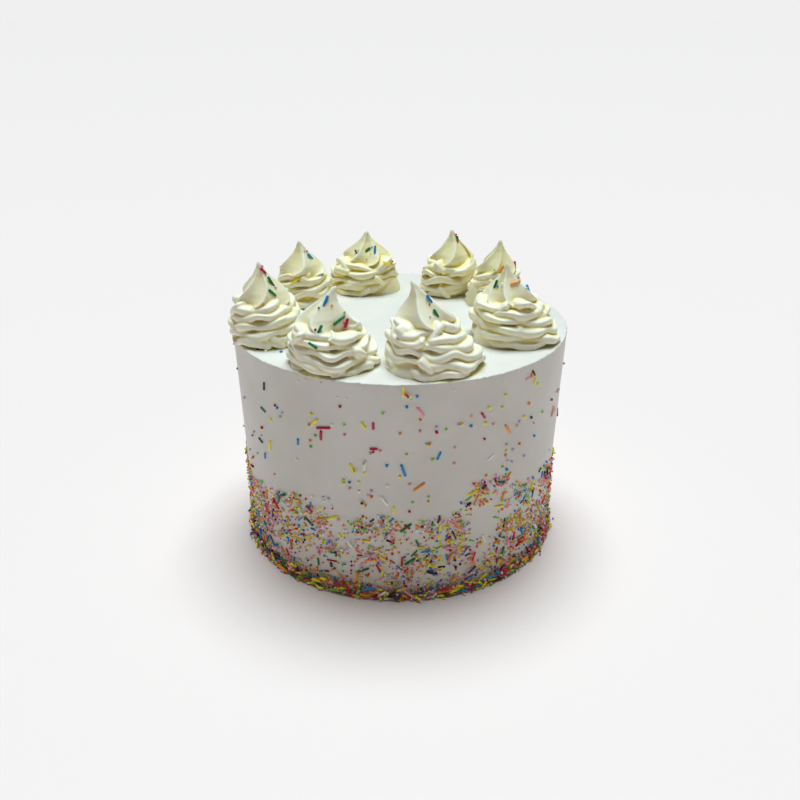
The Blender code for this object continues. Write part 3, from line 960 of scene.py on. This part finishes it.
@dataclass
class SprinkleCoat:
    """Rods and balls of sugar on the cake's side, thick at its foot, with a few on the swirls."""

    drum: IcedDrum
    seed: int = 20
    big_rods: int = 88
    more_rods: int = 560
    foot_rods: int = 290
    band_balls: int = 4050
    foot_balls: int = 760
    far_balls: int = 140
    clumped: float = 0.68
    matched: float = 0.42
    clump_spread: float = 0.62
    rod_width: float = 1.6 * MM
    rod_lengths: tuple[float, float] = (6.2 * MM, 8.4 * MM)
    spacing: float = 9.5 * MM
    ball_width: float = 1.9 * MM
    pressed_in: float = 0.35
    band: tuple[tuple[float, float], ...] = (
        (-180, 60), (-150, 50), (-128, 60), (-113, 66), (-108, 46), (-98, 60), (-86, 50), (-76, 51), (-63, 76),
        (-54, 72), (-46, 60), (-30, 64), (0, 50), (35, 68), (70, 48), (105, 64), (140, 52), (180, 60))
    bare: tuple[tuple[float, float], tuple[float, float]] = ((-66, -56), (37 * MM, 60 * MM))
    back: tuple[float, float] = (-28, 205)
    laid: Footprints = field(default_factory=Footprints)
    rods: list[Sprinkle] = field(default_factory=list)
    balls: list[Sprinkle] = field(default_factory=list)

    def band_top(self, degrees: float) -> float:
        """Return how high the sprinkles stand at an angle round the cake."""
        angles, levels = zip(*self.band)
        return float(np.interp(degrees, angles, levels)) * MM

    def lay_rod(self, angle: float, height: float, tilt: float, length: float, tint: Tint, width: float,
                most_layers: int = 9, proud: float = 0.0, bend: float = 0.0) -> None:
        """Lay a rod on the side, on top of what is there.

        Args:
            angle: how far round, in radians.
            height: how high its middle lies.
            tilt: how steep it lies, in radians.
            length: its length.
            tint: its colour.
            width: its thickness.
            most_layers: how many layers of rods may lie there, with this one.
            proud: how far it stands off the icing besides.
            bend: how far its middle bows sideways.
        """
        middle = np.array([angle * self.drum.foot_radius, height])
        half = 0.5 * length * np.array([math.cos(tilt), math.sin(tilt)])
        layer = self.laid.layers_under(middle - half, middle + half, width)
        if layer >= most_layers:
            return
        self.laid.add(middle - half, middle + half, width, layer + 1)
        place, outward, around, up = self.drum.side_place(angle, height)
        along = around * math.cos(tilt) + up * math.sin(tilt)
        off = self.pressed_in * width / 2 + proud + 0.78 * layer * self.rod_width
        if layer:
            # It leans on the one below, with one end on the icing
            rise = self.rod_width / length * (1 if math.sin(1000 * angle) > 0 else -1)
            along = (along + outward * rise).normalized()
        self.rods.append(Sprinkle(place + outward * off, along, outward, length, width, tint, bend))

    def lay_ball(self, angle: float, height: float, tint: Tint, width: float, proud: float = 0.0,
                 most_layers: int = 9) -> None:
        """Press a ball into the side, or onto the rods that lie there, where the layers allow."""
        place, outward, _, up = self.drum.side_place(angle, height)
        middle = np.array([angle * self.drum.foot_radius, height])
        layer = self.laid.layers_under(middle, middle, width)
        if layer >= most_layers:
            return
        off = 0.25 * width + proud + 0.75 * layer * self.rod_width
        self.laid.add(middle, middle, width, layer + 1)
        self.balls.append(Sprinkle(place + outward * off, up, outward, width, width, tint))

    def lay_largest(self, rng: np.random.Generator, draw: Callable[[], Tint]) -> None:
        """Lay the large rods of the band where the solid has them.

        Args:
            rng: the draw that the solid's rods follow.
            draw: gives each a colour.
        """
        points: list[Vector] = []
        while len(points) < self.big_rods:
            degrees = rng.uniform(-180, 180)
            height = self.band_top(degrees) * rng.uniform(0, 1) ** 1.3
            tilt = rng.uniform(-90, 90)
            length = rng.uniform(*self.rod_lengths)
            lowest = height - 0.5 * length * abs(math.sin(math.radians(tilt)))
            point = self.drum.side_place(math.radians(degrees), height)[0]
            if lowest < 1.1 * MM or any((point - other).length < self.spacing for other in points):
                continue
            points.append(point)
            self.lay_rod(math.radians(degrees), height, math.radians(tilt), length, draw(), self.rod_width)

    def build(self, swirls: Sequence[bpy.types.Object], material: bpy.types.Material) -> None:
        """Place every sprinkle and make one piece for each kind.

        Args:
            swirls: the swirls' pieces, in their order.
            material: the sugar's material.
        """
        rng = np.random.default_rng(self.seed + 1)
        rod_tints = palette(rng, ROD_SHARES)
        ball_tints = palette(rng, BALL_SHARES)
        self.lay_largest(np.random.default_rng(self.seed), rod_tints)
        for degrees, height, tilt, length, tint in (*STRAY_RODS, *FINE_RODS):
            self.lay_rod(math.radians(degrees), height * MM, math.radians(tilt), length * MM, tint,
                         self.rod_width * (0.85 if length < 6 else 1.0))
        self.lay_band(rng, self.all_clumps(rng), rod_tints, ball_tints)
        self.lay_foot(rng, rod_tints, ball_tints)
        self.lay_loose_balls(rng, ball_tints)
        self.lay_on_swirls(rng, swirls, ball_tints)
        self.finish("sugar_rods", self.rods, rod_recipe, material)
        self.finish("sugar_balls", self.balls, ball_recipe, material)

    def all_clumps(self, rng: np.random.Generator) -> list[Clump]:
        """Return the clumps seen on the front with as many like them, drawn round the back."""
        drawn = list(CLUMPS)
        while len(drawn) < 3 * len(CLUMPS):
            degrees = rng.uniform(*self.back)
            low = self.band_top((degrees + 180) % 360 - 180) / MM
            height = low * rng.uniform(0.1, 0.95)
            drawn.append((degrees, height, rng.uniform(3, 7), rng.uniform(4, 9)))
        return drawn

    def room_in_band(self, rng: np.random.Generator,
                     clumps: Sequence[Clump]) -> tuple[float, float, Tint | None]:
        """Draw a place in the band, in a clump or anywhere up to the band's edge, with the clump's colour."""
        while True:
            clump_tint = None
            if rng.uniform() < self.clumped:
                index = int(rng.integers(len(clumps)))
                clump_tint = CLUMP_TINTS[index % len(CLUMP_TINTS)]
                middle, level, wide, tall = clumps[index]
                degrees = middle + self.clump_spread * wide * rng.normal()
                height = (level + self.clump_spread * tall * rng.normal()) * MM
                degrees = (degrees + 180) % 360 - 180
            else:
                degrees = rng.uniform(-180, 180)
                height = self.band_top(degrees) * rng.uniform(0, 1.02) ** 1.15
            (left, right), (low, high) = self.bare
            bare = left < degrees < right and low < height < high
            if not bare and 1.6 * MM < height < self.band_top(degrees) + 5 * MM:
                return math.radians(degrees), height, clump_tint

    def lay_band(self, rng: np.random.Generator, clumps: Sequence[Clump],
                 rod_tints: Callable[[], Tint], ball_tints: Callable[[], Tint]) -> None:
        """Lay the smaller rods and the balls of the band."""
        wanted = len(self.rods) + self.more_rods
        while len(self.rods) < wanted:
            angle, height, _ = self.room_in_band(rng, clumps)
            tilt = rng.uniform(-math.pi / 2, math.pi / 2)
            length = rng.uniform(3.0, 7.4) * MM
            width = self.rod_width * rng.uniform(0.66, 1.0)
            lowest = height - 0.5 * length * abs(math.sin(tilt))
            bend = rng.uniform(-0.08, 0.08) if rng.uniform() < 0.4 else 0.0
            if lowest > 0.9 * MM:
                self.lay_rod(angle, height, tilt, length, rod_tints(), width, 1 + (rng.uniform() < 0.5),
                             bend=bend)
        wanted = len(self.balls) + self.band_balls
        while len(self.balls) < wanted:
            angle, height, clump_tint = self.room_in_band(rng, clumps)
            width = self.ball_width * rng.uniform(0.58, 1.0)
            tint = ball_tints()
            if clump_tint and rng.uniform() < self.matched:
                tint = clump_tint
            self.lay_ball(angle, height, tint, width, most_layers=1 + (rng.uniform() < 0.3))

    def lay_foot(self, rng: np.random.Generator, rod_tints: Callable[[], Tint],
                 ball_tints: Callable[[], Tint]) -> None:
        """Pile rods and balls up along the foot, most of the rods lying along it."""
        wanted = len(self.rods) + self.foot_rods
        while len(self.rods) < wanted:
            tilt = rng.normal(0, 0.45)
            length = rng.uniform(3.6, 8.0) * MM
            width = self.rod_width * rng.uniform(0.75, 1.0)
            low = 0.55 * width + 0.5 * length * abs(math.sin(tilt))
            height = low + abs(rng.normal(0, 2.4 * MM))
            self.lay_rod(rng.uniform(-math.pi, math.pi), height, tilt, length, rod_tints(), width, 3,
                         proud=rng.uniform(0, 0.5) * MM + max(0.0, rng.normal(0, 1.1 * MM)) * (height < 3 * MM))
        wanted = len(self.balls) + self.foot_balls
        while len(self.balls) < wanted:
            width = self.ball_width * rng.uniform(0.65, 1.05)
            height = 0.52 * width + abs(rng.normal(0, 2.2 * MM))
            self.lay_ball(rng.uniform(-math.pi, math.pi), height, ball_tints(), width,
                          proud=rng.uniform(0, 0.6) * MM + max(0.0, rng.normal(0, 1.4 * MM)) * (height < 2 * MM),
                          most_layers=3)

    def lay_loose_balls(self, rng: np.random.Generator, ball_tints: Callable[[], Tint]) -> None:
        """Lay the balls that stand alone: the seen ones where they are, and like ones round the back."""
        for tint, places in LONE_BALLS.items():
            for degrees, height in places:
                is_speck = tint is Tint.WHITE and height > 110
                width = self.ball_width * (0.62 if is_speck else rng.uniform(0.8, 1.05))
                self.lay_ball(math.radians(degrees), height * MM, tint, width)
        wanted = len(self.balls) + self.far_balls
        while len(self.balls) < wanted:
            degrees = rng.uniform(*self.back)
            low = self.band_top((degrees + 180) % 360 - 180)
            height = low + (self.drum.height - 6 * MM - low) * rng.uniform(0, 1) ** 1.8
            self.lay_ball(math.radians(degrees), height, ball_tints(),
                          self.ball_width * rng.uniform(0.65, 1.0))
        for x, y, tint in TOP_BALLS:
            place = Vector((x * MM, y * MM, self.drum.height + 0.3 * MM))
            up = Vector((0, 0, 1))
            self.balls.append(Sprinkle(place, Vector((1, 0, 0)), up, self.ball_width, self.ball_width, tint))

    def lay_on_swirls(self, rng: np.random.Generator, swirls: Sequence[bpy.types.Object],
                      ball_tints: Callable[[], Tint]) -> None:
        """Lay the rods that lie on the swirls, and a few balls beside them."""
        graph = bpy.context.evaluated_depsgraph_get()
        trees = [BVHTree.FromObject(piece, graph) for piece in swirls]
        for number, degrees, part, tilt, length, tint in SWIRL_RODS:
            found = self.on_swirl(trees, number, degrees, part)
            if found is None:
                continue
            place, normal, around = found
            up = normal.cross(around)
            along = around * math.cos(math.radians(tilt)) + up * math.sin(math.radians(tilt))
            width = self.rod_width
            lift = normal * self.pressed_in * width / 2
            self.rods.append(Sprinkle(place + lift, along, normal, length * MM, width, tint))
            for _ in range(2):
                near = self.on_swirl(trees, number, degrees + rng.uniform(-38, 38),
                                     part + rng.uniform(-0.10, 0.10))
                if near is not None:
                    size = self.ball_width * rng.uniform(0.5, 0.85)
                    self.balls.append(Sprinkle(near[0] + near[1] * 0.25 * size, near[2], near[1], size, size,
                                               ball_tints()))

    @staticmethod
    def on_swirl(trees: Sequence[BVHTree], number: int, degrees: float,
                 part: float) -> tuple[Vector, Vector, Vector] | None:
        """Return the point, the outward direction and the direction around, on a swirl's skin."""
        swirl = SWIRLS[number - 1]
        angle = math.radians(degrees)
        outward = Vector((math.cos(angle), math.sin(angle), 0))
        middle = Vector((swirl.x + swirl.lean_at(part), swirl.y, swirl.floor + part * swirl.height))
        place, normal, _, _ = trees[number - 1].ray_cast(middle + outward * 2 * swirl.radius, -outward)
        if place is None:
            return None
        normal = (normal + outward).normalized()
        return place, normal, Vector((0, 0, 1)).cross(normal).normalized()

    def finish(self, name: str, sprinkles: Sequence[Sprinkle], recipe_for: Callable[[], tuple[Recipe, Any]],
               material: bpy.types.Material) -> None:
        """Turn the list of sprinkles into one mesh piece.

        Args:
            name: the piece's name.
            sprinkles: what it holds.
            recipe_for: makes the tree that turns points into sugar.
            material: the sugar's material.
        """
        mesh = bpy.data.meshes.new(name)
        mesh.from_pydata([tuple(each.place) for each in sprinkles], [], [])
        rows = {
            "along": [tuple(each.along) for each in sprinkles],
            "outward": [tuple(each.outward) for each in sprinkles],
            "length": [each.length for each in sprinkles],
            "width": [each.width for each in sprinkles],
            "bend": [each.bend for each in sprinkles],
            "tint": [(each.tint.number + 0.5) / len(Tint) for each in sprinkles],
        }
        for key, values in rows.items():
            flat = np.array(values, np.float32).ravel()
            vector = key in ("along", "outward")
            attribute = mesh.attributes.new(key, "FLOAT_VECTOR" if vector else "FLOAT", "POINT")
            attribute.data.foreach_set("vector" if vector else "value", flat)
        piece = new_object(name, mesh)
        recipe, geometry = recipe_for()
        coloured = recipe.node("GeometryNodeSetMaterial", {"Geometry": geometry, "Material": material})
        recipe.run(piece, coloured.outputs[0])
        for key in ("along", "outward", "length", "width", "bend"):
            left = piece.data.attributes.get(key)
            if left is not None:
                piece.data.attributes.remove(left)
        dress(piece, material)


def palette(rng: np.random.Generator, shares: dict[Tint, float]) -> Callable[[], Tint]:
    """Return a function that draws a colour by its share."""
    tints = list(shares)
    weights = np.array(list(shares.values()))
    weights = weights / weights.sum()

    def draw() -> Tint:
        """Draw one colour."""
        return tints[int(rng.choice(len(tints), p=weights))]

    return draw


def stored_palette_map(recipe: Recipe, geometry: Any, across: Any, along: Any) -> Any:
    """Store a UV map in which all sugar of one colour shares one square of a four by four sheet.

    Args:
        recipe: the tree.
        geometry: what gets the map.
        across: a number from 0 to 1 over a piece of sugar.
        along: another, in the other direction.

    Returns:
        The geometry's socket.
    """
    number = recipe.math("FLOOR", recipe.math("MULTIPLY", recipe.read("tint"), float(len(Tint))))
    column = recipe.math("MODULO", number, 4.0)
    row = recipe.math("FLOOR", recipe.math("DIVIDE", number, 4.0))
    inside = recipe.math("MULTIPLY_ADD", across, 0.7, 0.15)
    u = recipe.math("MULTIPLY", recipe.math("ADD", column, inside), 0.25)
    v = recipe.math("MULTIPLY", recipe.math("ADD", row, recipe.math("MULTIPLY_ADD", along, 0.7, 0.15)), 0.25)
    flat = recipe.node("ShaderNodeCombineXYZ", {0: u, 1: v}).outputs[0]
    return recipe.store(geometry, "OFBake", flat, "FLOAT2", "CORNER")


def laid_by_points(recipe: Recipe, shape: Any, lengthwise: bool) -> Any:
    """Put a copy of a shape on each point, turned and sized by the point's attributes.

    Args:
        recipe: the tree.
        shape: the copy, one unit long and wide.
        lengthwise: whether the copy is stretched to the point's length.

    Returns:
        The geometry's socket, with the copies made real.
    """
    turn = recipe.node("FunctionNodeAxesToRotation", {0: recipe.read("along", "FLOAT_VECTOR"),
                                                      1: recipe.read("outward", "FLOAT_VECTOR")},
                       primary_axis="Z", secondary_axis="X")
    width = recipe.read("width")
    tall = recipe.read("length") if lengthwise else width
    scale = recipe.node("ShaderNodeCombineXYZ", {0: width, 1: width, 2: tall})
    points = recipe.node("GeometryNodeMeshToPoints", {"Mesh": recipe.start.outputs[0]})
    copies = recipe.node("GeometryNodeInstanceOnPoints", {"Points": points.outputs[0], "Instance": shape,
                                                          "Rotation": turn.outputs[0], "Scale": scale.outputs[0]})
    return recipe.node("GeometryNodeRealizeInstances", {0: copies.outputs[0]}).outputs[0]


def rod_recipe() -> tuple[Recipe, Any]:
    """Return the tree that makes a sugar rod with rounded ends on each point, and bows some of them."""
    recipe = Recipe("sugar_rods_laid")
    sides = recipe.size("Sides", 8, "NodeSocketInt")
    shoulder = recipe.size("End width", 0.62)
    rod = recipe.node("GeometryNodeMeshCylinder", {"Vertices": sides, "Side Segments": 5, "Radius": 0.5,
                                                   "Depth": 1.0})
    place = recipe.node("GeometryNodeInputPosition").outputs[0]
    x, y, z = recipe.node("ShaderNodeSeparateXYZ", {0: place}).outputs[:3]
    level = recipe.math("MULTIPLY", recipe.math("ABSOLUTE", z), 2.0)
    at_end = recipe.math("GREATER_THAN", level, 0.9)
    spread = recipe.range(level, 0.2, 0.6, 0.28, 0.87)
    spread = recipe.math("MAXIMUM", spread, at_end)
    thin = recipe.math("SUBTRACT", 1.0,
                       recipe.math("MULTIPLY", at_end, recipe.math("SUBTRACT", 1.0, shoulder)))
    height = recipe.math("MULTIPLY", recipe.math("MULTIPLY", recipe.math("SIGN", z), spread), 0.5)
    rounded = recipe.node("ShaderNodeCombineXYZ", {0: recipe.math("MULTIPLY", x, thin),
                                                   1: recipe.math("MULTIPLY", y, thin), 2: height})
    rod = recipe.node("GeometryNodeSetPosition", {"Geometry": rod.outputs[0], "Position": rounded.outputs[0]})
    station = recipe.store(rod.outputs[0], "station", z)
    station = recipe.store(station, "side", recipe.math("ADD", x, 0.5))
    laid = laid_by_points(recipe, station, True)
    side = recipe.vector("CROSS_PRODUCT", recipe.read("outward", "FLOAT_VECTOR"),
                         recipe.read("along", "FLOAT_VECTOR"))
    along = recipe.read("station")
    bow = recipe.math("SUBTRACT", 1.0, recipe.math("MULTIPLY", recipe.math("MULTIPLY", along, along), 4.0))
    bow = recipe.math("MULTIPLY", bow, recipe.math("MULTIPLY", recipe.read("bend"), recipe.read("length")))
    bowed = recipe.node("GeometryNodeSetPosition",
                        {"Geometry": laid, "Offset": recipe.vector("SCALE", side, bow)})
    mapped = stored_palette_map(recipe, bowed.outputs[0], recipe.read("side"), recipe.math("ADD", along, 0.5))
    smooth = recipe.node("GeometryNodeSetShadeSmooth", {"Geometry": mapped})
    return recipe, smooth.outputs[0]


def ball_recipe() -> tuple[Recipe, Any]:
    """Return the tree that makes a sugar ball on each point."""
    recipe = Recipe("sugar_balls_laid")
    sides = recipe.size("Sides", 6, "NodeSocketInt")
    rings = recipe.size("Rings", 4, "NodeSocketInt")
    ball = recipe.node("GeometryNodeMeshUVSphere", {"Segments": sides, "Rings": rings, "Radius": 0.52})
    place = recipe.node("GeometryNodeInputPosition").outputs[0]
    x, _, z = recipe.node("ShaderNodeSeparateXYZ", {0: place}).outputs[:3]
    stored = recipe.store(ball.outputs[0], "station", z)
    stored = recipe.store(stored, "side", recipe.math("ADD", x, 0.5))
    laid = laid_by_points(recipe, stored, False)
    mapped = stored_palette_map(recipe, laid, recipe.read("side"),
                                recipe.math("ADD", recipe.read("station"), 0.5))
    smooth = recipe.node("GeometryNodeSetShadeSmooth", {"Geometry": mapped})
    return recipe, smooth.outputs[0]


# How often each colour comes among the rods and among the balls
ROD_SHARES = {Tint.CRIMSON: 9, Tint.RED: 8, Tint.PINK: 9, Tint.ORANGE: 14, Tint.YELLOW: 15, Tint.LIGHT_GREEN: 4,
              Tint.DARK_GREEN: 12, Tint.BLUE: 12, Tint.PURPLE: 12, Tint.WHITE: 6}
BALL_SHARES = {Tint.CRIMSON: 5, Tint.RED: 4, Tint.PINK: 22, Tint.ORANGE: 15, Tint.YELLOW: 18, Tint.LIGHT_GREEN: 13,
               Tint.DARK_GREEN: 1, Tint.BLUE: 7, Tint.PURPLE: 3, Tint.WHITE: 8, Tint.SILVER: 8}

# The colour that the balls of a clump lean to, clump by clump
CLUMP_TINTS = (Tint.ORANGE, Tint.SILVER, Tint.PINK, Tint.PINK, Tint.YELLOW, Tint.ORANGE, Tint.PINK,
               Tint.LIGHT_GREEN)

# Rods that lie alone above the band: degrees round the cake, height in mm, tilt in degrees, length in mm
STRAY_RODS = (
    (-114, 111.0, 11, 9.0, Tint.CRIMSON), (-115, 106.0, -94, 6.0, Tint.CRIMSON),
    (-117, 113.5, 48, 6.0, Tint.YELLOW), (-101, 116.0, -57, 4.4, Tint.YELLOW),
    (-98, 116.0, -91, 4.2, Tint.CRIMSON), (-98, 102.0, 4, 4.5, Tint.CRIMSON),
    (-124, 98.0, -95, 4.2, Tint.BLUE), (-138, 87.0, -99, 7.0, Tint.YELLOW),
    (-138, 125.0, -100, 5.2, Tint.PURPLE), (-140, 109.0, -15, 5.2, Tint.DARK_GREEN),
    (-144, 86.0, -18, 5.0, Tint.PURPLE), (-142, 77.0, -101, 4.2, Tint.BLUE),
    (-154, 66.0, 38, 6.0, Tint.RED), (-105, 88.4, -68, 5.8, Tint.YELLOW),
    (-101, 90.0, -97, 8.0, Tint.WHITE), (-95, 69.0, -56, 7.3, Tint.WHITE),
    (-89, 136.5, -90, 5.2, Tint.YELLOW), (-89, 89.0, -72, 8.0, Tint.BLUE), (-78, 97.0, 69, 5.3, Tint.BLUE),
    (-54, 105.0, -55, 7.6, Tint.ORANGE), (-84, 78.0, 38, 7.8, Tint.ORANGE),
    (-64, 118.0, -57, 4.6, Tint.CRIMSON), (-60, 90.0, 31, 4.8, Tint.WHITE),
    (-84, 124.7, -56, 6.4, Tint.PINK), (-46, 132.4, 6, 5.8, Tint.PINK), (-44, 134.3, -53, 4.4, Tint.PURPLE),
    (-144, 48.0, -96, 6.6, Tint.ORANGE), (-135, 52.0, -98, 5.3, Tint.DARK_GREEN),
    (-26, 98.0, 70, 6.5, Tint.PINK), (-8, 83.0, 20, 7.4, Tint.DARK_GREEN),
    (22, 112.0, -60, 5.8, Tint.YELLOW), (58, 90.0, 35, 7.8, Tint.RED), (93, 104.0, -15, 6.4, Tint.BLUE),
    (128, 86.0, 75, 7.2, Tint.ORANGE), (160, 110.0, -40, 6.0, Tint.PURPLE),
)

# More of them, smaller or half sunk
FINE_RODS = (
    (-43, 128.9, -89, 4.0, Tint.YELLOW), (-26, 56.0, 50, 4.7, Tint.DARK_GREEN),
    (-92, 63.0, -90, 4.7, Tint.YELLOW), (-88, 135.0, -60, 3.4, Tint.CRIMSON),
)

# Rods on the swirls: the swirl's number, degrees round it, part of its height, tilt in degrees, length in mm
SWIRL_RODS = (
    (1, -57, 0.88, -50, 5.0, Tint.CRIMSON), (1, -25, 0.73, -70, 9.0, Tint.DARK_GREEN),
    (1, -50, 0.64, -50, 6.0, Tint.DARK_GREEN), (2, -104, 0.43, 45, 7.5, Tint.YELLOW),
    (2, -21, 0.74, -55, 6.0, Tint.BLUE), (3, -53, 0.70, 80, 7.0, Tint.BLUE),
    (3, -45, 0.52, -25, 7.0, Tint.YELLOW), (3, -122, 0.67, -30, 5.0, Tint.PURPLE),
    (3, -78, 0.71, 40, 4.5, Tint.DARK_GREEN), (4, -30, 0.84, 70, 4.5, Tint.DARK_GREEN),
    (5, -85, 0.58, 60, 6.0, Tint.ORANGE), (5, -25, 0.62, -80, 5.5, Tint.RED),
    (6, -155, 0.72, 80, 6.0, Tint.DARK_GREEN), (6, -63, 0.76, 15, 6.0, Tint.ORANGE),
    (6, -21, 0.66, 60, 6.0, Tint.BLUE), (7, -55, 0.80, -60, 5.2, Tint.BLUE),
    (7, -52, 0.66, -65, 5.0, Tint.DARK_GREEN), (8, -82, 0.82, 65, 7.0, Tint.BLUE),
    (8, -50, 0.62, 30, 8.0, Tint.DARK_GREEN), (8, -36, 0.58, 65, 5.5, Tint.CRIMSON),
    (8, -100, 0.53, 60, 7.2, Tint.DARK_GREEN), (8, -108, 0.39, -30, 5.6, Tint.DARK_GREEN),
)

# Balls that stand alone on the front of the side: degrees round the cake and height in mm
LONE_BALLS = {
    Tint.CRIMSON: ((-142, 96), (-133, 116), (-108, 126), (-98, 101), (-87, 62), (-79, 112), (-63, 103),
                   (-29, 108)),
    Tint.BLUE: ((-151, 84), (-132, 115), (-106, 79), (-94, 92), (-88, 128), (-85, 134), (-70, 64), (-68, 113),
                (-53, 78), (-40, 92), (-38, 62)),
    Tint.SILVER: ((-143, 90), (-130, 113), (-100, 72), (-99, 99), (-79, 115), (-54, 95), (-53, 84), (-51, 82),
                  (-51, 90), (-49, 107), (-45, 82), (-21, 109)),
    Tint.LIGHT_GREEN: ((-148, 74), (-131, 110), (-119, 97), (-117, 105), (-108, 80), (-107, 115), (-101, 93),
                       (-95, 124), (-88, 99), (-87, 134), (-86, 68), (-82, 105), (-81, 71), (-80, 95),
                       (-76, 113),
                       (-55, 81), (-36, 105)),
    Tint.YELLOW: ((-136, 105), (-118, 118), (-108, 78), (-104, 87), (-103, 80), (-102, 66), (-101, 87),
                  (-90, 85),
                  (-71, 115), (-63, 113), (-62, 122), (-57, 120), (-56, 127), (-54, 91), (-47, 109),
                  (-41, 126),
                  (-25, 97)),
    Tint.ORANGE: ((-149, 88), (-119, 101), (-119, 111), (-101, 65), (-99, 71), (-90, 112), (-84, 120),
                  (-81, 105),
                  (-81, 68), (-48, 92), (-45, 116), (-45, 134), (-23, 109)),
    Tint.PINK: ((-137, 68), (-107, 109), (-106, 75), (-99, 75), (-96, 101), (-87, 80), (-84, 113), (-73, 91),
                (-73, 101), (-72, 115), (-68, 119), (-60, 111), (-54, 88), (-50, 105), (-41, 101)),
    Tint.WHITE: ((-125, 86), (-122, 136), (-119, 138), (-114, 138), (-111, 114), (-109, 131), (-106, 131),
                 (-103, 74), (-94, 79), (-61, 118), (-60, 137), (-57, 135), (-74, 136)),
    Tint.PURPLE: ((-102, 67), (-83, 53), (-43, 106)),
    Tint.DARK_GREEN: ((-26, 59),),
}

# Clumps of sprinkles on the front: degrees round the cake, height in mm, half width in degrees
# and half height in mm
CLUMPS: tuple[Clump, ...] = (
    (-150, 10, 8, 8), (-149, 46, 5, 9), (-145, 28, 7, 9), (-139, 40, 7, 7), (-130, 55, 4, 4),
    (-123, 51, 6, 7), (-117, 46, 3, 6), (-103, 50, 4, 6), (-95, 52, 4, 6), (-112, 31, 3, 5),
    (-88, 19, 3, 7), (-99, 28, 4, 6), (-127, 32, 5, 7), (-63, 71, 3, 5), (-56, 72, 3, 3), (-44, 56, 5, 6),
    (-63, 59, 5, 4), (-66, 47, 5, 6), (-72, 51, 3, 4), (-80, 51, 3, 5), (-73, 38, 5, 6), (-50, 37, 5, 6),
    (-36, 32, 9, 8), (-30, 22, 7, 9), (-41, 21, 9, 7), (-50, 19, 6, 6), (-69, 29, 3, 6), (-65, 12, 6, 5),
    (-56, 16, 4, 6), (-82, 26, 4, 7), (-115, 8, 6, 4), (-92, 13, 5, 4), (-104, 7, 5, 4), (-76, 7, 6, 4),
    (-52, 6, 5, 6), (-130, 10, 7, 5),
)

# Specks on the top near the rim, left of the front: places in mm
TOP_BALLS = ((-82.0, -53.0, Tint.PURPLE), (-77.0, -56.0, Tint.WHITE), (-68.0, -57.0, Tint.BLUE))


@dataclass
class Studio:
    """Pale paper floor, a large soft light overhead and behind, and the camera in front."""

    floor_size: float = 60.0
    key_lean: tuple[float, float] = (-12.0, 1.0)
    key_spread: float = 38.0
    key_power: float = 4.1
    key_colour: str = "#E7F8FF"
    fill: float = 0.08
    fill_colour: str = "#FFF3E2"
    horizon: str = "#F0F0F0"
    camera_place: tuple[float, float, float] = (0.0, -0.5045, 0.3136)
    camera_pitch: float = -27.61
    lens: float = 37.485
    shift_up: float = 0.05875

    def build(self, paper: bpy.types.Material) -> None:
        """Set up the floor, the lights and the camera."""
        self.lay_floor(paper)
        self.hang_light()
        self.set_world()
        self.set_camera()
        bpy.context.scene.view_settings.view_transform = "Standard"

    def lay_floor(self, paper: bpy.types.Material) -> None:
        """Lay the paper under the cake."""
        half = self.floor_size / 2
        mesh = bpy.data.meshes.new("paper_floor")
        corners = [(-half, -half, 0), (half, -half, 0), (half, half, 0), (-half, half, 0)]
        mesh.from_pydata(corners, [], [(0, 1, 2, 3)])
        mesh.materials.append(paper)
        new_object("paper_floor", mesh)

    def hang_light(self) -> None:
        """Hang the soft light overhead, leaning in from behind."""
        light = bpy.data.lights.new("soft_key", "SUN")
        light.angle = math.radians(self.key_spread)
        light.energy = self.key_power
        light.color = linear(self.key_colour)[:3]
        lamp = bpy.data.objects.new("soft_key", light)
        lamp.location = (0, 0, 1)
        lamp.rotation_euler = (math.radians(self.key_lean[0]), math.radians(self.key_lean[1]), 0)
        bpy.context.scene.collection.objects.link(lamp)

    def set_world(self) -> None:
        """Give the room a weak warm light, behind a pale horizon."""
        world = bpy.data.worlds.new("studio")
        bpy.context.scene.world = world
        world.use_nodes = True
        tree = world.node_tree
        tree.nodes.clear()
        seen = add_node(tree, "ShaderNodeBackground", {"Color": linear(self.horizon), "Strength": 1.0})
        light = add_node(tree, "ShaderNodeBackground",
                         {"Color": linear(self.fill_colour), "Strength": self.fill})
        path = add_node(tree, "ShaderNodeLightPath")
        mixed = add_node(tree, "ShaderNodeMixShader", {0: path.outputs["Is Camera Ray"], 1: light.outputs[0],
                                                       2: seen.outputs[0]})
        add_node(tree, "ShaderNodeOutputWorld", {0: mixed.outputs[0]})

    def set_camera(self) -> None:
        """Put the camera where the cake is seen from the front and a little above."""
        lens = bpy.data.cameras.new("front_camera")
        lens.sensor_width = 36.0
        lens.lens = self.lens
        lens.shift_y = self.shift_up
        camera = bpy.data.objects.new("front_camera", lens)
        camera.location = self.camera_place
        camera.rotation_euler = (math.radians(90 + self.camera_pitch), 0, 0)
        bpy.context.scene.collection.objects.link(camera)
        bpy.context.scene.camera = camera


def main() -> None:
    """Build the cake's pieces in order."""
    logging.basicConfig(level=logging.INFO, format="%(message)s")
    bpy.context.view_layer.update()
    Studio().build(SeamlessPaper().material())
    drum = IcedDrum()
    drum.build(ScrapedButtercream().material())
    cream = PipedCream().material()
    swirls = [swirl.build(cream) for swirl in SWIRLS]
    SprinkleCoat(drum).build(swirls, SugarShell().material())


if __name__ == "__main__":
    main()
